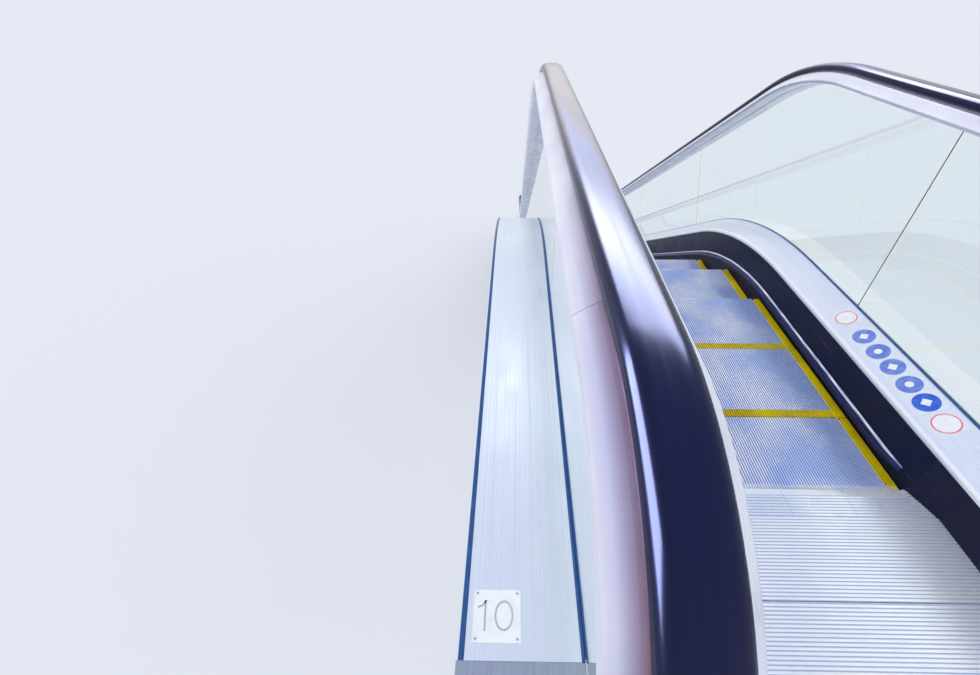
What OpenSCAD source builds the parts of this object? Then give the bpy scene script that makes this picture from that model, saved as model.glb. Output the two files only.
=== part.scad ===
// Escalator between two floors, seen from its upper landing: glass balustrades, cleated steps with
// curved risers, combs, floor plates, and a clad lattice truss that bears on an angle at each end.
// X is across, +Y runs down the escalator and Z is up. The origin is the middle of the upper
// support angle's bearing face.

/* [Travel] */
// Height from the lower floor to the upper floor
rise = 4700; // [3100:200:6300]
// Slope of the steps, in degrees
incline = 30; // [27:1:32]
// Level run of the steps from a comb to the start of the bend
level_run = 1040; // [900:20:1300]
// Radius of the path of the step noses in both bends
bend_r = 1800; // [1500:50:2100]

/* [Steps] */
// Pitch of the steps along their path
step_pitch = 400; // [396:1:406]
// Running gap between one step and the next
step_gap = 4; // [3:0.5:6]
// Path length from the upper comb to the first step nose
first_nose = 311; // [150:1:360]
// Number of cleats across a tread
cleats = 56; // [46:1:60]
// Pitch of the cleats, drawn at twice the 9 mm of a real tread
cleat_pitch = 18; // [16:0.5:18]
// Width of one cleat
cleat_w = 7.2; // [6:0.2:9]
// Height of the cleats above the tread plate
cleat_h = 10; // [9:0.5:11]
// Thickness of the tread plate below the cleats
tread_t = 8; // [6:1:12]
// How far a riser laps below the next tread on the slope
riser_lap = 6; // [4:1:8]
// Thickness of the riser
riser_t = 7; // [5:1:9]
// Number of cleats in the yellow insert at each side of a tread
edge_cleats = 2; // [1:1:3]
// Radius of the step rollers
roller_r = 38; // [32:1:42]
// Width of the step rollers
roller_w = 22; // [18:1:26]

/* [Combs and floor] */
// Number of comb segments across
comb_segments = 5; // [3:1:7]
// Depth of a comb segment behind its root
comb_d = 97; // [90:1:110]
// Reach of the comb teeth past the root
tooth_reach = 27; // [22:1:32]
// Width of a comb tooth
tooth_w = 5.6; // [4:0.2:6.4]
// Height of the floor plates above the treads
floor_h = 14; // [12:1:20]
// Depth of the comb plate behind the comb segments
comb_plate_d = 243; // [200:1:300]
// Depth of the floor plate between the newels
inner_plate_d = 296; // [250:2:340]
// Depth of the floor plates past the newels
outer_plate_d = 800; // [600:20:1000]
// Thickness of the floor plates
plate_t = 12; // [8:1:12]
// Pitch of the ribs on combs and floor plates
rib_pitch = 10; // [8:1:14]
// Height of the ribs
rib_h = 1.5; // [1:0.5:2]
// Half width of the floor between the newel skirts
floor_half = 540; // [530:2:548]
// Length over which the floor widens behind the comb
flare_d = 107; // [90:1:130]

/* [Balustrades] */
// Gap between the steps and each skirt
skirt_gap = 4; // [3:0.5:5]
// Thickness of the skirt panels
skirt_t = 3; // [2:0.5:4]
// Height of the inner deck's nose above the step noses
nose_h = 204; // [190:2:214]
// Height of the decks at the glass, above the step noses
deck_h = 268; // [256:1:285]
// Thickness of the deck sheets
deck_t = 3; // [2:0.5:4]
// Width of the shared cover on the left
left_cover_w = 250; // [200:10:300]
// Width of the outer deck on the right
right_cover_w = 128; // [122:1:150]
// Thickness of the glass
glass_t = 12; // [10:1:13]
// Half distance between the handrail centres
handrail_x = 619; // [612:1:626]
// Height of the handrail's underside above the treads on the level
handrail_h = 995; // [940:5:1040]
// Radius of the handrail's path at its bends
handrail_bend_r = 1300; // [1100:50:1500]
// How far the handrail's bends lie beyond those of the steps
handrail_lag = 60; // [30:5:100]
// Width of the handrail
handrail_w = 80; // [76:1:84]
// Thickness of the handrail
handrail_t = 30; // [26:1:34]
// Width of the profile under the handrail
profile_w = 154; // [140:2:162]
// Depth of the profile under the handrail
profile_d = 48; // [44:1:56]
// Radius of the newel at the handrail's underside
newel_r = 400; // [380:5:410]
// Distance of the newel's centre behind the comb
newel_back = 440; // [425:5:455]
// Distance of the decks' end behind the comb
deck_back = 552; // [540:2:564]
// Distance of the first glass joint past the comb
glass_joint = 665; // [500:15:800]
// Length of the middle glass panels, as a target
glass_len = 1700; // [1300:50:2000]
// Width of the gap between glass panels
glass_gap = 4; // [2:0.5:6]
// Height of the brush strip above the step noses
brush_h = 62; // [55:1:80]
// Length over which each end of the brush strip tapers
brush_taper = 110; // [60:10:160]

/* [Truss] */
// Depth of the truss below the step noses
truss_d = 1000; // [900:20:1200]
// Distance of the truss's outer face past the handrail's centre
truss_past = 132; // [126:1:140]
// Thickness of the truss side frames
truss_t = 80; // [60:5:100]
// Width of the chords
chord_w = 110; // [80:5:130]
// Width of the posts and diagonals
brace_w = 60; // [50:5:80]
// Width of the beams across the truss and the landings
beam_w = 60; // [50:5:80]
// Number of truss bays in each landing
end_bays = 2; // [1:1:3]
// Number of truss bays on the slope
slope_bays = 8; // [6:1:10]
// Thickness of the cladding sheets
clad_t = 3; // [2:0.5:4]
// Gap between cladding sheets
clad_gap = 6; // [3:1:10]
// Width of the support angle's bearing leg
seat_leg = 120; // [100:5:150]
// Thickness of the support angles
seat_t = 15; // [12:1:20]
// Depth of the bearing face below the treads
seat_drop = 75; // [60:5:100]

/* [Number plate] */
// Side of the number plate
tag_size = 100; // [80:2:120]
// Thickness of the number plate
tag_t = 1.5; // [1:0.5:3]
// Distance of the number plate from the deck's end
tag_in = 30; // [15:1:60]
// Distance of the number plate's middle from the cover's middle
tag_off = 46; // [0:2:50]

/* [Hidden] */
$fn = 48;

step_nodes = 5;
bend_tan = tan(incline / 2);
cleat_span = (cleats - 1) * cleat_pitch;
step_half = cleat_span / 2 + cleat_w / 2;
skirt_x = step_half + skirt_gap;
skirt_out = skirt_x + skirt_t;
truss_half = handrail_x + truss_past;
truss_inner = truss_half - truss_t;

// A route is two corner points [y, z] and the bend radius at each
step_top = [level_run + bend_r * bend_tan, 0];
step_low = step_top + [rise / tan(incline), -rise];
step_route = [step_top, step_low, bend_r, bend_r];
rail_route = [
    [step_top[0] + handrail_lag, handrail_h], [step_low[0] + handrail_lag, handrail_h - rise],
    handrail_bend_r, bend_r - handrail_h / 2
];
low_comb_y = step_low[0] + step_top[0];

// Length of the step path from comb to comb
bend_len = bend_r * incline * PI / 180;
slope_len = norm(step_low - step_top) - 2 * bend_r * bend_tan;
path_len = 2 * level_run + 2 * bend_len + slope_len;
step_count = floor((path_len + step_pitch - step_gap - first_nose) / step_pitch) + 1;
steps_per_node = ceil(step_count / step_nodes);

comb_back = comb_d + comb_plate_d;
newel_end = comb_back + inner_plate_d;
landing_d = newel_end + outer_plate_d;
end_low_y = low_comb_y + landing_d;
seat_y = landing_d + seat_leg / 2;

// Step casting: roller axles measured from the nose
riser_h = step_pitch * sin(incline) + riser_lap;
chain_axle = [-350, -110];
trail_axle = [-110, roller_r - riser_h - riser_t];
cheek_x = step_half - 40;
cheek_t = 12;
chain_x = cheek_x;
trail_x = cheek_x - cheek_t - roller_w;
boss = 20;
track_t = 8;
pad_lap = 1;
skirt_low = -250;
mark_l = 60;
butt = 0.3;
comb_lip = 24;
segment_gap = 1;
plate_gap = 2;

clamp_half = glass_t / 2 + 6;
deck_x = handrail_x - clamp_half;
clamp_low = 90;
clamp_in = 2;
glass_bite = 60;
profile_bite = 8;
fit = 0.3;
brush_reach = 20;
brush_start = 50;
skirt_top = nose_h - 12;
cover_lip = 34;

// Front covers and inlets at the newels, and the truss's place below the step noses
front_foot = 98;
front_top = 58;
front_drop = 10;
inlet_rim = 15;
inlet_room = 2;
chord_drop = 30;
step_room = 20;
beam_h = 80;
rail_in = 25;

// Glass joints: how far on the slope the first and last lie, and lines past everything else
slope_lead = 345;
slope_tail = 300;
far_past = 2000;
far_up = 1500;
far_down = 300;

downhill = [cos(incline), -sin(incline)];
function bend_start(r) = r[0] - [r[2] * bend_tan, 0];
function bend_end(r) = r[0] + r[2] * bend_tan * downhill;
function foot_start(r) = r[1] - r[3] * bend_tan * downhill;
function foot_end(r) = r[1] + [r[3] * bend_tan, 0];
function slope_offset(p) = p[0] * sin(incline) + p[1] * cos(incline);
function moved(r, by) = [r[0] + by, r[1] + by, r[2], r[3]];
function arc_points(c, r, from, to, count) =
    [for (i = [0 : count]) let (a = from + (to - from) * i / count) c + r * [cos(a), sin(a)]];

// Points of a line that keeps the normal distance n above a route
function route_line(r, y0, y1, n) = concat(
    [[y0, r[0][1] + n]],
    arc_points(bend_start(r) - [0, r[2]], r[2] + n, 90, 90 - incline, 10),
    arc_points(foot_end(r) + [0, r[3]], r[3] - n, 270 - incline, 270, 10),
    [[y1, r[1][1] + n]]
);
function reversed(list) = [for (i = [len(list) - 1 : -1 : 0]) list[i]];

// Place of the step nose at a length along its path
function nose_at(s) =
    s < level_run ? [s, 0]
    : s < level_run + bend_len ? let (a = (s - level_run) / bend_r * 180 / PI)
        [level_run + bend_r * sin(a), bend_r * (cos(a) - 1)]
    : s < level_run + bend_len + slope_len ? bend_end(step_route)
        + (s - level_run - bend_len) * downhill
    : s < path_len - level_run ? let (a = (path_len - level_run - s) / bend_r * 180 / PI)
        [foot_end(step_route)[0] - bend_r * sin(a), -rise + bend_r * (1 - cos(a))]
    : [foot_end(step_route)[0] + s - path_len + level_run, -rise];

// Corner of truss bay i at the normal distance n above the step route
function bay_point(i, n) =
    i < end_bays ? [-landing_d + (step_top[0] + landing_d) * i / end_bays, n]
    : i == end_bays ? step_top + n * [bend_tan, 1]
    : i < end_bays + slope_bays ? let (y = (step_low[0] - step_top[0]) * (i - end_bays) / slope_bays)
        [step_top[0] + y, n / cos(incline) - y * tan(incline)]
    : i == end_bays + slope_bays ? step_low + n * [bend_tan, 1]
    : [step_low[0] + (end_low_y - step_low[0]) * (i - end_bays - slope_bays) / end_bays, n - rise];
bays = 2 * end_bays + slope_bays;
chord_top = -chord_drop - chord_w / 2;
chord_low = -truss_d + chord_w / 2;

module place() translate([0, seat_y, seat_drop]) children();
module upper_end() place() children();
module lower_end() place() translate([0, low_comb_y, -rise]) mirror([0, 1, 0]) children();
module both_ends() {
    upper_end() children();
    lower_end() children();
}
module both_sides() {
    children();
    mirror([1, 0, 0]) children();
}

// Extrudes an outline drawn in Y and Z from x0 to x1
module across(x0, x1) translate([x0, 0, 0]) rotate([90, 0, 90]) linear_extrude(x1 - x0) children();

// Extrudes a section drawn in X and height from one point [y, z] to another
module run(p, q) {
    slope = atan2(p[1] - q[1], q[0] - p[0]);
    translate([0, q[0], q[1]]) rotate([90 - slope, 0, 0]) linear_extrude(norm(q - p)) children();
}

// Turns a section over a bend whose top is at the origin, towards -Y, on a radius r
module over_bend(r, sweep) {
    translate([0, 0, -r]) rotate([0, 90, 0]) rotate([0, 0, 180]) rotate_extrude(angle = sweep, $fn = 96)
        translate([r, 0]) mirror([1, -1]) children();
}

// Turns a section up out of a level run that starts at the origin, towards +Y
module under_bend(r) {
    translate([0, 0, r]) rotate([0, 90, 0]) rotate_extrude(angle = incline, $fn = 96)
        translate([r, 0]) rotate(90) children();
}

// Sweeps a section along a route in three lengths: level and bend, slope, bend and level.
// With a newel sweep the level ends turn round the newels too.
module follow(r, y0, y1, newel_sweep = 0) {
    top = y0 - bend_start(r)[0];
    low = foot_end(r)[0] - y1;
    translate([0, bend_start(r)[0], r[0][1]]) {
        run([top, 0], [0, 0]) children();
        mirror([0, 1, 0]) over_bend(r[2], incline) children();
        if (newel_sweep > 0) translate([0, top, 0]) over_bend(newel_r, newel_sweep) children();
    }
    run(bend_end(r) + butt * downhill, foot_start(r) - butt * downhill) children();
    translate([0, foot_end(r)[0], r[1][1]]) mirror([0, 1, 0]) {
        run([low, 0], [0, 0]) children();
        under_bend(r[3]) children();
        if (newel_sweep > 0) translate([0, low, 0]) over_bend(newel_r, newel_sweep) children();
    }
}

// Short lengths of a section along the slope of the step route
module on_slope(count) {
    for (i = [0 : count - 1]) {
        p = bend_end(step_route) + (foot_start(step_route) - bend_end(step_route)) * (i + 0.5) / count;
        run(p - mark_l / 2 * downhill, p + mark_l / 2 * downhill) children();
    }
}
module on_levels(places) both_ends() for (y = places)
    run([y - mark_l / 2, 0], [y + mark_l / 2, 0]) children();

module rect(x0, y0, x1, y1) translate([x0, y0]) square([x1 - x0, y1 - y0]);

module bar(p, q, w) {
    side = w / 2 * [p[1] - q[1], q[0] - p[0]] / norm(q - p);
    polygon([p + side, q + side, q - side, p - side]);
}

// Chords, posts and diagonals of a side frame in one outline, with hairline notches at its nodes closed
module truss_side() {
    top = chord_top;
    low = chord_low;
    across(truss_inner, truss_half) offset(delta = -butt) offset(delta = butt) {
        for (i = [0 : bays - 1]) {
            bar(bay_point(i, top), bay_point(i + 1, top), chord_w);
            bar(bay_point(i, low), bay_point(i + 1, low), chord_w);
            bar(bay_point(i, top), bay_point(i + 1, low), brace_w);
        }
        for (i = [0 : bays]) {
            inset = i == 0 ? [brace_w / 2, 0] : i == bays ? [-brace_w / 2, 0] : [0, 0];
            bar(bay_point(i, top) + inset, bay_point(i, low) + inset, brace_w);
        }
    }
}
module truss_left() color("#5b6064") place() mirror([1, 0, 0]) truss_side();
module truss_right() color("#5b6064") place() truss_side();

module truss_cross_beams() color("#5b6064") place() {
    for (i = [0 : bays]) {
        inset = i == 0 ? 0 : i == bays ? -beam_w : -beam_w / 2;
        p = bay_point(i, chord_low);
        translate([-truss_inner, p[0] + inset, p[1] - beam_h / 2]) cube([2 * truss_inner, beam_w, beam_h]);
    }
}

// Side rails and cross beams that carry the floor plates, the first beam clear of the steps
module landing_frame() {
    rail_x = floor_half - rail_in;
    tall = beam_w + floor_h - plate_t;
    joint = -newel_end - beam_w / 2;
    both_sides() translate([rail_x, -landing_d, -beam_w])
        cube([truss_inner - rail_x, landing_d - beam_w, tall]);
    for (y = [-step_pitch - step_room - beam_w, joint, joint - outer_plate_d / 2, -landing_d])
        translate([-rail_x, y, -beam_w]) cube([2 * rail_x, beam_w, tall]);
}
module landing_frames() color("#5b6064") both_ends() landing_frame();

module support_angle() {
    across(-truss_half, truss_half) polygon([
        [-landing_d, -seat_drop + seat_t], [-landing_d - seat_leg, -seat_drop + seat_t],
        [-landing_d - seat_leg, -seat_drop], [-landing_d - seat_t, -seat_drop],
        [-landing_d - seat_t, -seat_drop - seat_leg], [-landing_d, -seat_drop - seat_leg]
    ]);
}
module upper_support_angle() color("#5b6064") upper_end() support_angle();
module lower_support_angle() color("#5b6064") lower_end() support_angle();

// One cladding sheet outline between two bays, shrunk by the joint
module bay_sheet(i, high, low) {
    g = clad_gap / 2;
    polygon([
        bay_point(i, low) + [g, 0], bay_point(i + 1, low) - [g, 0],
        bay_point(i + 1, high) - [g, 0], bay_point(i, high) + [g, 0]
    ]);
}
module soffit_panels() color("#c9ccce") place() {
    for (i = [0 : bays - 1]) {
        p = bay_point(i, -truss_d);
        q = bay_point(i + 1, -truss_d);
        g = clad_gap / 2 * (q - p) / norm(q - p);
        run(p + g, q - g) rect(-truss_half, -clad_t, truss_half, 0);
    }
}
// Sheets over the truss, and one along the balustrade's foot up to the decks, straight at its lower edge
module cladding() {
    end = low_comb_y + deck_back;
    across(truss_half, truss_half + clad_t) {
        for (i = [0 : bays - 1]) bay_sheet(i, -clad_gap, -truss_d);
        polygon(concat(
            route_line(step_route, -deck_back, end, deck_h - deck_t - 2 * butt),
            [[end, -rise], step_low, step_top, [-deck_back, 0]]
        ));
    }
}
module left_cladding() color("#c9ccce") place() mirror([1, 0, 0]) cladding();
module right_cladding() color("#c9ccce") place() cladding();

// Cleats and plate of a tread in section, from cleat a to cleat b
module cleat_section(a, b) {
    x0 = a == 0 ? -step_half : (a - (cleats - 1) / 2) * cleat_pitch - cleat_pitch / 2;
    x1 = b == cleats - 1 ? step_half : (b - (cleats - 1) / 2) * cleat_pitch + cleat_pitch / 2;
    base = -cleat_h - tread_t / 2;
    polygon(concat(
        [[x0, base], [x0, -cleat_h]],
        [for (i = [a : b], k = [0 : 3]) let (x = (i - (cleats - 1) / 2) * cleat_pitch, h = cleat_w / 2)
            [x + (k < 2 ? -h : h), k == 0 || k == 3 ? -cleat_h : 0]],
        [[x1, -cleat_h], [x1, base]]
    ));
}
module tread() {
    run([-step_pitch + step_gap, 0], [0, 0]) cleat_section(edge_cleats, cleats - 1 - edge_cleats);
}
module edge_inserts() {
    run([-step_pitch + step_gap, 0], [0, 0]) {
        cleat_section(0, edge_cleats - 1);
        cleat_section(cleats - edge_cleats, cleats - 1);
    }
}

// Plate, curved riser and cheeks in one casting, with its rollers
module step_casting() {
    under = -cleat_h - tread_t;
    seam = under + tread_t / 2;
    reach = step_pitch - step_gap;
    translate([-step_half, -reach, under]) cube([2 * step_half, reach - riser_t, tread_t / 2]);
    across(-step_half, step_half) intersection() {
        translate([-reach, 0]) difference() {
            circle(reach, $fn = 180);
            circle(reach - riser_t, $fn = 180);
        }
        polygon([[-riser_h, -riser_h], [0, -riser_h], [0, seam], [-riser_h, seam]]);
    }
    both_sides() {
        across(cheek_x - cheek_t, cheek_x) polygon([
            [-reach + riser_t + 1, under], chain_axle + [-boss, -boss], chain_axle + [boss, -boss],
            trail_axle + [-boss, -boss], trail_axle + [boss, -boss], [-riser_t - 1, under]
        ]);
        roller(chain_x, chain_axle);
        roller(trail_x, trail_axle);
    }
}
module roller(x, axle)
    translate([x, axle[0], axle[1]]) rotate([0, 90, 0]) cylinder(r = roller_r, h = roller_w);
module at_step(k) {
    nose = nose_at(first_nose + k * step_pitch);
    translate([0, nose[0], nose[1]]) children();
}
module step_group(g) color("#aab2ba") place() {
    for (k = [g * steps_per_node : min(step_count, (g + 1) * steps_per_node) - 1]) at_step(k) {
        tread();
        step_casting();
    }
}
module steps_1() step_group(0);
module steps_2() step_group(1);
module steps_3() step_group(2);
module steps_4() step_group(3);
module steps_5() step_group(4);
module step_edge_inserts() color("#d8c800") place()
    for (k = [0 : step_count - 1]) at_step(k) edge_inserts();

// Rails under the chain rollers and the trailing rollers
module step_tracks() color("#5b6064") place() both_sides() {
    track(chain_x, chain_axle);
    track(trail_x, trail_axle);
}
module track(x, axle) {
    follow(moved(step_route, axle), -comb_d - 10, low_comb_y + comb_d + 10)
        rect(x, -roller_r - track_t, x + roller_w, -roller_r);
}

// Beams from the truss in under the skirts, with pads up to both tracks
module track_beam(top, chain_seat, trail_seat) {
    rect(trail_x, top - beam_w, truss_inner, top);
    rect(chain_x, top - pad_lap, chain_x + roller_w, chain_seat);
    rect(trail_x, top - pad_lap, trail_x + roller_w, trail_seat);
}
module track_brackets() color("#5b6064") {
    drop = roller_r + track_t;
    chain = slope_offset(chain_axle) - drop;
    place() both_sides() on_slope(slope_bays) track_beam(chain, chain, slope_offset(trail_axle) - drop);
    both_sides() on_levels([0, level_run / 2])
        track_beam(skirt_low, chain_axle[1] - drop, trail_axle[1] - drop);
}

module ribbed_outline(y0, y1, top, base) {
    count = floor((y1 - y0) / rib_pitch);
    polygon(concat(
        [[y0, base], [y0, top - rib_h]],
        [for (i = [0 : count - 1], k = [0 : 3])
            [y0 + (i + (k < 2 ? 0.25 : 0.75)) * rib_pitch, k == 0 || k == 3 ? top - rib_h : top]],
        [[y1, top - rib_h], [y1, base]]
    ));
}

module comb_segment(i) {
    grooves = cleats - 1;
    first = round(grooves * i / comb_segments);
    past = round(grooves * (i + 1) / comb_segments);
    x0 = (first - grooves / 2) * cleat_pitch;
    x1 = (past - grooves / 2) * cleat_pitch;
    base = floor_h - plate_t;
    across(x0 + segment_gap / 2, x1 - segment_gap / 2) {
        ribbed_outline(-comb_d, -comb_lip, floor_h, base);
        polygon([[-comb_lip, base], [0, base], [0, base + 5], [-comb_lip, floor_h - rib_h]]);
    }
    for (g = [first : past - 1]) {
        x = (g + 0.5 - grooves / 2) * cleat_pitch;
        across(x - tooth_w / 2, x + tooth_w / 2) polygon([
            [-2, base + 1], [-2, base + 4], [0, base + 4.5], [tooth_reach, -cleat_h + 5],
            [tooth_reach, -cleat_h + 3], [10, -cleat_h + 3], [0, base]
        ]);
    }
}
module comb() {
    for (i = [0 : comb_segments - 1]) comb_segment(i);
}
module upper_comb() color("#d5d8dc") upper_end() comb();
module lower_comb() color("#d5d8dc") lower_end() comb();

// Plan of the floor behind the comb, narrow at the comb
module floor_plan() both_sides() polygon([
    [0, 0], [skirt_x - fit, 0], [skirt_x - fit, -skirt_gap], [floor_half - fit, -flare_d],
    [floor_half - fit, -newel_end], [0, -newel_end]
]);
module floor_plates() {
    base = floor_h - plate_t;
    outer = outer_plate_d / 2;
    comb_half = cleat_span / 2;
    intersection() {
        across(-floor_half, floor_half) ribbed_outline(-comb_back + plate_gap / 2, -comb_d, floor_h, base);
        linear_extrude(2 * floor_h) floor_plan();
    }
    both_sides() intersection() {
        across(comb_half, floor_half) ribbed_outline(-comb_d + butt, 0, floor_h, base);
        linear_extrude(2 * floor_h) floor_plan();
    }
    g = plate_gap / 2;
    across(-floor_half + g, floor_half - g) ribbed_outline(-newel_end + g, -comb_back - g, floor_h, base);
    for (k = [0, 1]) across(-truss_half, truss_half)
        ribbed_outline(-newel_end - (k + 1) * outer + g, -newel_end - k * outer - g, floor_h, base);
}
module upper_floor_plates() color("#cdd2d8") upper_end() floor_plates();
module lower_floor_plates() color("#cdd2d8") lower_end() floor_plates();

module skirt() follow(step_route, -2, low_comb_y + 2) rect(skirt_x, skirt_low, skirt_out, skirt_top);
module left_skirt() color("#1b1d22") place() mirror([1, 0, 0]) skirt();
module right_skirt() color("#1b1d22") place() skirt();

// Holder with its bristles, cut away at both ends until it meets the skirt
module brush() difference() {
    follow(step_route, brush_start, low_comb_y - brush_start) polygon([
        [skirt_x, brush_h], [skirt_x - 8, brush_h - 4], [skirt_x - brush_reach, brush_h - 30],
        [skirt_x - brush_reach + 3, brush_h - 31], [skirt_x, brush_h - 18]
    ]);
    brush_cut();
    translate([0, low_comb_y, -rise]) mirror([0, 1, 0]) brush_cut();
}
module brush_cut() {
    past = brush_reach + 1;
    linear_extrude(2 * brush_h) polygon([
        [skirt_x, brush_start - 1], [skirt_x, brush_start], [skirt_x - past, brush_start + brush_taper],
        [skirt_x - past, brush_start - 1]
    ]);
}
module left_skirt_brush() color("#54505e") place() mirror([1, 0, 0]) brush();
module right_skirt_brush() color("#54505e") place() brush();

// Panels beside the floor plates, set back from the skirts
module newel_skirts() {
    base = floor_h - plate_t;
    both_sides() translate([0, 0, base]) linear_extrude(skirt_top - base) polygon([
        [skirt_x, -2], [skirt_out, -2], [floor_half + skirt_t, -flare_d], [floor_half + skirt_t, -deck_back],
        [floor_half, -deck_back], [floor_half, -flare_d], [skirt_x, -skirt_gap]
    ]);
}
module upper_newel_skirts() color("#1b1d22") upper_end() newel_skirts();
module lower_newel_skirts() color("#1b1d22") lower_end() newel_skirts();

module inner_deck_section() polygon([
    [skirt_x - 3, skirt_top], [skirt_x - 4, nose_h - 4], [skirt_x, nose_h + 2], [skirt_x + 7, nose_h + 4],
    [deck_x, deck_h], [deck_x, deck_h - 5], [skirt_x + 8, nose_h - 2], [skirt_out, nose_h - 6],
    [skirt_out, skirt_top]
]);
module inner_deck() follow(step_route, -deck_back, low_comb_y + deck_back) inner_deck_section();
module left_inner_deck() color("#c3cbd6") place() mirror([1, 0, 0]) inner_deck();
module right_inner_deck() color("#c3cbd6") place() inner_deck();

module outer_deck(w) {
    x0 = handrail_x + clamp_half;
    follow(step_route, -deck_back, low_comb_y + deck_back) polygon([
        [x0, deck_h], [x0 + w, deck_h], [x0 + w, deck_h - cover_lip], [x0 + w - deck_t, deck_h - cover_lip],
        [x0 + w - deck_t, deck_h - deck_t], [x0, deck_h - deck_t]
    ]);
}
module centre_cover() color("#c3cbd6") place() mirror([1, 0, 0]) outer_deck(left_cover_w);
module right_outer_deck() color("#c3cbd6") place() outer_deck(right_cover_w);

// Channel that grips the foot of the glass and carries both decks
module glass_clamp() {
    half = clamp_half;
    low = deck_h - clamp_low;
    bite = deck_h - glass_bite - 4;
    end = deck_back - clamp_in;
    follow(step_route, -end, low_comb_y + end) translate([handrail_x, 0]) polygon([
        [-half, low], [half, low], [half, deck_h], [glass_t / 2 + fit, deck_h], [glass_t / 2 + fit, bite],
        [-glass_t / 2 - fit, bite], [-glass_t / 2 - fit, deck_h], [-half, deck_h]
    ]);
}
module left_glass_clamp() color("#26414f") place() mirror([1, 0, 0]) glass_clamp();
module right_glass_clamp() color("#26414f") place() glass_clamp();

// Posts from the truss chord up to the clamp
module clamp_brackets() color("#5b6064") both_sides() {
    place() on_slope(slope_bays + 2) clamp_post();
    on_levels([level_run / 3, level_run * 0.8]) clamp_post();
}
module clamp_post() rect(handrail_x - clamp_half, chord_top, truss_inner, deck_h - clamp_low);

// Outline of all the glass of one side
module glass_outline() {
    top = -profile_d + profile_bite;
    low = deck_h - glass_bite;
    above = deck_h + 3;
    end = deck_back - 2 * clamp_in;
    c = [-newel_back, handrail_h - newel_r];
    r = newel_r + top;
    turn = arc_points(c, r, 90, 180 + asin((c[1] - above) / r), 24);
    upper = concat(turn, [[-end, above]]);
    lower = [for (p = upper) [low_comb_y - p[0], p[1] - rise]];
    polygon(concat(
        reversed(upper), route_line(rail_route, -newel_back, low_comb_y + newel_back, top), lower,
        reversed(route_line(step_route, -end, low_comb_y + end, low))
    ));
}

// Joints between panels, as a foot point and a direction, with an end line past each newel
slope_from = bend_end(step_route) + slope_lead * downhill;
slope_to = foot_start(step_route) - slope_tail * downhill;
slope_panels = round(norm(slope_to - slope_from) / glass_len);
uphill = [sin(incline), cos(incline)];
function joint_line(i) =
    i == 0 ? [[-far_past, 0], [0, 1]]
    : i == 1 ? [[glass_joint, 0], [0, 1]]
    : i < slope_panels + 3 ? [slope_from + (slope_to - slope_from) * (i - 2) / slope_panels, uphill]
    : i == slope_panels + 3 ? [[low_comb_y - glass_joint, -rise], [0, 1]]
    : [[low_comb_y + far_past, -rise], [0, 1]];
module glass() {
    for (i = [0 : slope_panels + 3]) {
        p = joint_line(i);
        q = joint_line(i + 1);
        g = glass_gap / 2;
        across(handrail_x - glass_t / 2, handrail_x + glass_t / 2) intersection() {
            glass_outline();
            polygon([
                p[0] - far_down * p[1] + [g, 0], p[0] + far_up * p[1] + [g, 0],
                q[0] + far_up * q[1] - [g, 0], q[0] - far_down * q[1] - [g, 0]
            ]);
        }
    }
}
module left_glass() color("#bfe3dc", 0.4) place() mirror([1, 0, 0]) glass();
module right_glass() color("#bfe3dc", 0.4) place() glass();

// Sweeps a section along the handrail's visible path, round both newels
module along_rail(newel_sweep)
    follow(rail_route, -newel_back, low_comb_y + newel_back, newel_sweep) children();
profile_sweep = 151;
inlet_sweep = 9;
rail_sweep = 163;
module profile_section() translate([handrail_x, 0]) {
    half = profile_w / 2;
    slot = glass_t / 2 + fit;
    rim = handrail_w / 2;
    polygon([
        [-rim + 8, 0], [rim - 8, 0], [rim - 4, -4], [rim + 4, -6], [half - 4, -26], [half, -32],
        [half - 2, -40], [half - 10, -profile_d + 2], [half - 20, -profile_d], [slot, -profile_d],
        [slot, -profile_d + profile_bite + 2], [-slot, -profile_d + profile_bite + 2], [-slot, -profile_d],
        [-half + 20, -profile_d], [-half + 10, -profile_d + 2], [-half + 2, -40], [-half, -32],
        [-half + 4, -26], [-rim - 4, -6], [-rim + 4, -4]
    ]);
}
module handrail_profile() along_rail(profile_sweep) profile_section();
module left_handrail_profile() color("#dcdad8") place() mirror([1, 0, 0]) handrail_profile();
module right_handrail_profile() color("#dcdad8") place() handrail_profile();

module handrail_section() translate([handrail_x, 0]) {
    half = handrail_w / 2;
    t = handrail_t;
    polygon([
        [-half + 6, 0], [half - 6, 0], [half - 1, 4], [half, 12], [half - 3, 20], [half - 10, t - 4],
        [half - 20, t - 1], [half - 32, t], [-half + 32, t], [-half + 20, t - 1], [-half + 10, t - 4],
        [-half + 3, 20], [-half, 12], [-half + 1, 4]
    ]);
}
module handrail() along_rail(rail_sweep) handrail_section();
module left_handrail() color("#12163a") place() mirror([1, 0, 0]) handrail();
module right_handrail() color("#12163a") place() handrail();

// Front covers below the newels, cut for the handrail's inlets
module front_outline() polygon([
    [-deck_back, floor_h], [-deck_back - front_foot, floor_h],
    [-deck_back - front_top, deck_h - front_drop], [-deck_back, deck_h - deck_t]
]);
module at_newel() translate([0, -newel_back, handrail_h]) children();
module newel_front(w) {
    difference() {
        across(floor_half, handrail_x + clamp_half + w) front_outline();
        at_newel() over_bend(newel_r, 180) translate([handrail_x, 0])
            inlet_rect(inlet_rim + 1);
    }
}
module inlet_rect(grow) rect(-handrail_w / 2 - grow, -grow, handrail_w / 2 + grow, handrail_t + grow);
module newel_fronts() {
    newel_front(right_cover_w);
    mirror([1, 0, 0]) newel_front(left_cover_w);
}
module upper_newel_fronts() color("#8f9aa8") upper_end() newel_fronts();
module lower_newel_fronts() color("#8f9aa8") lower_end() newel_fronts();

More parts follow.
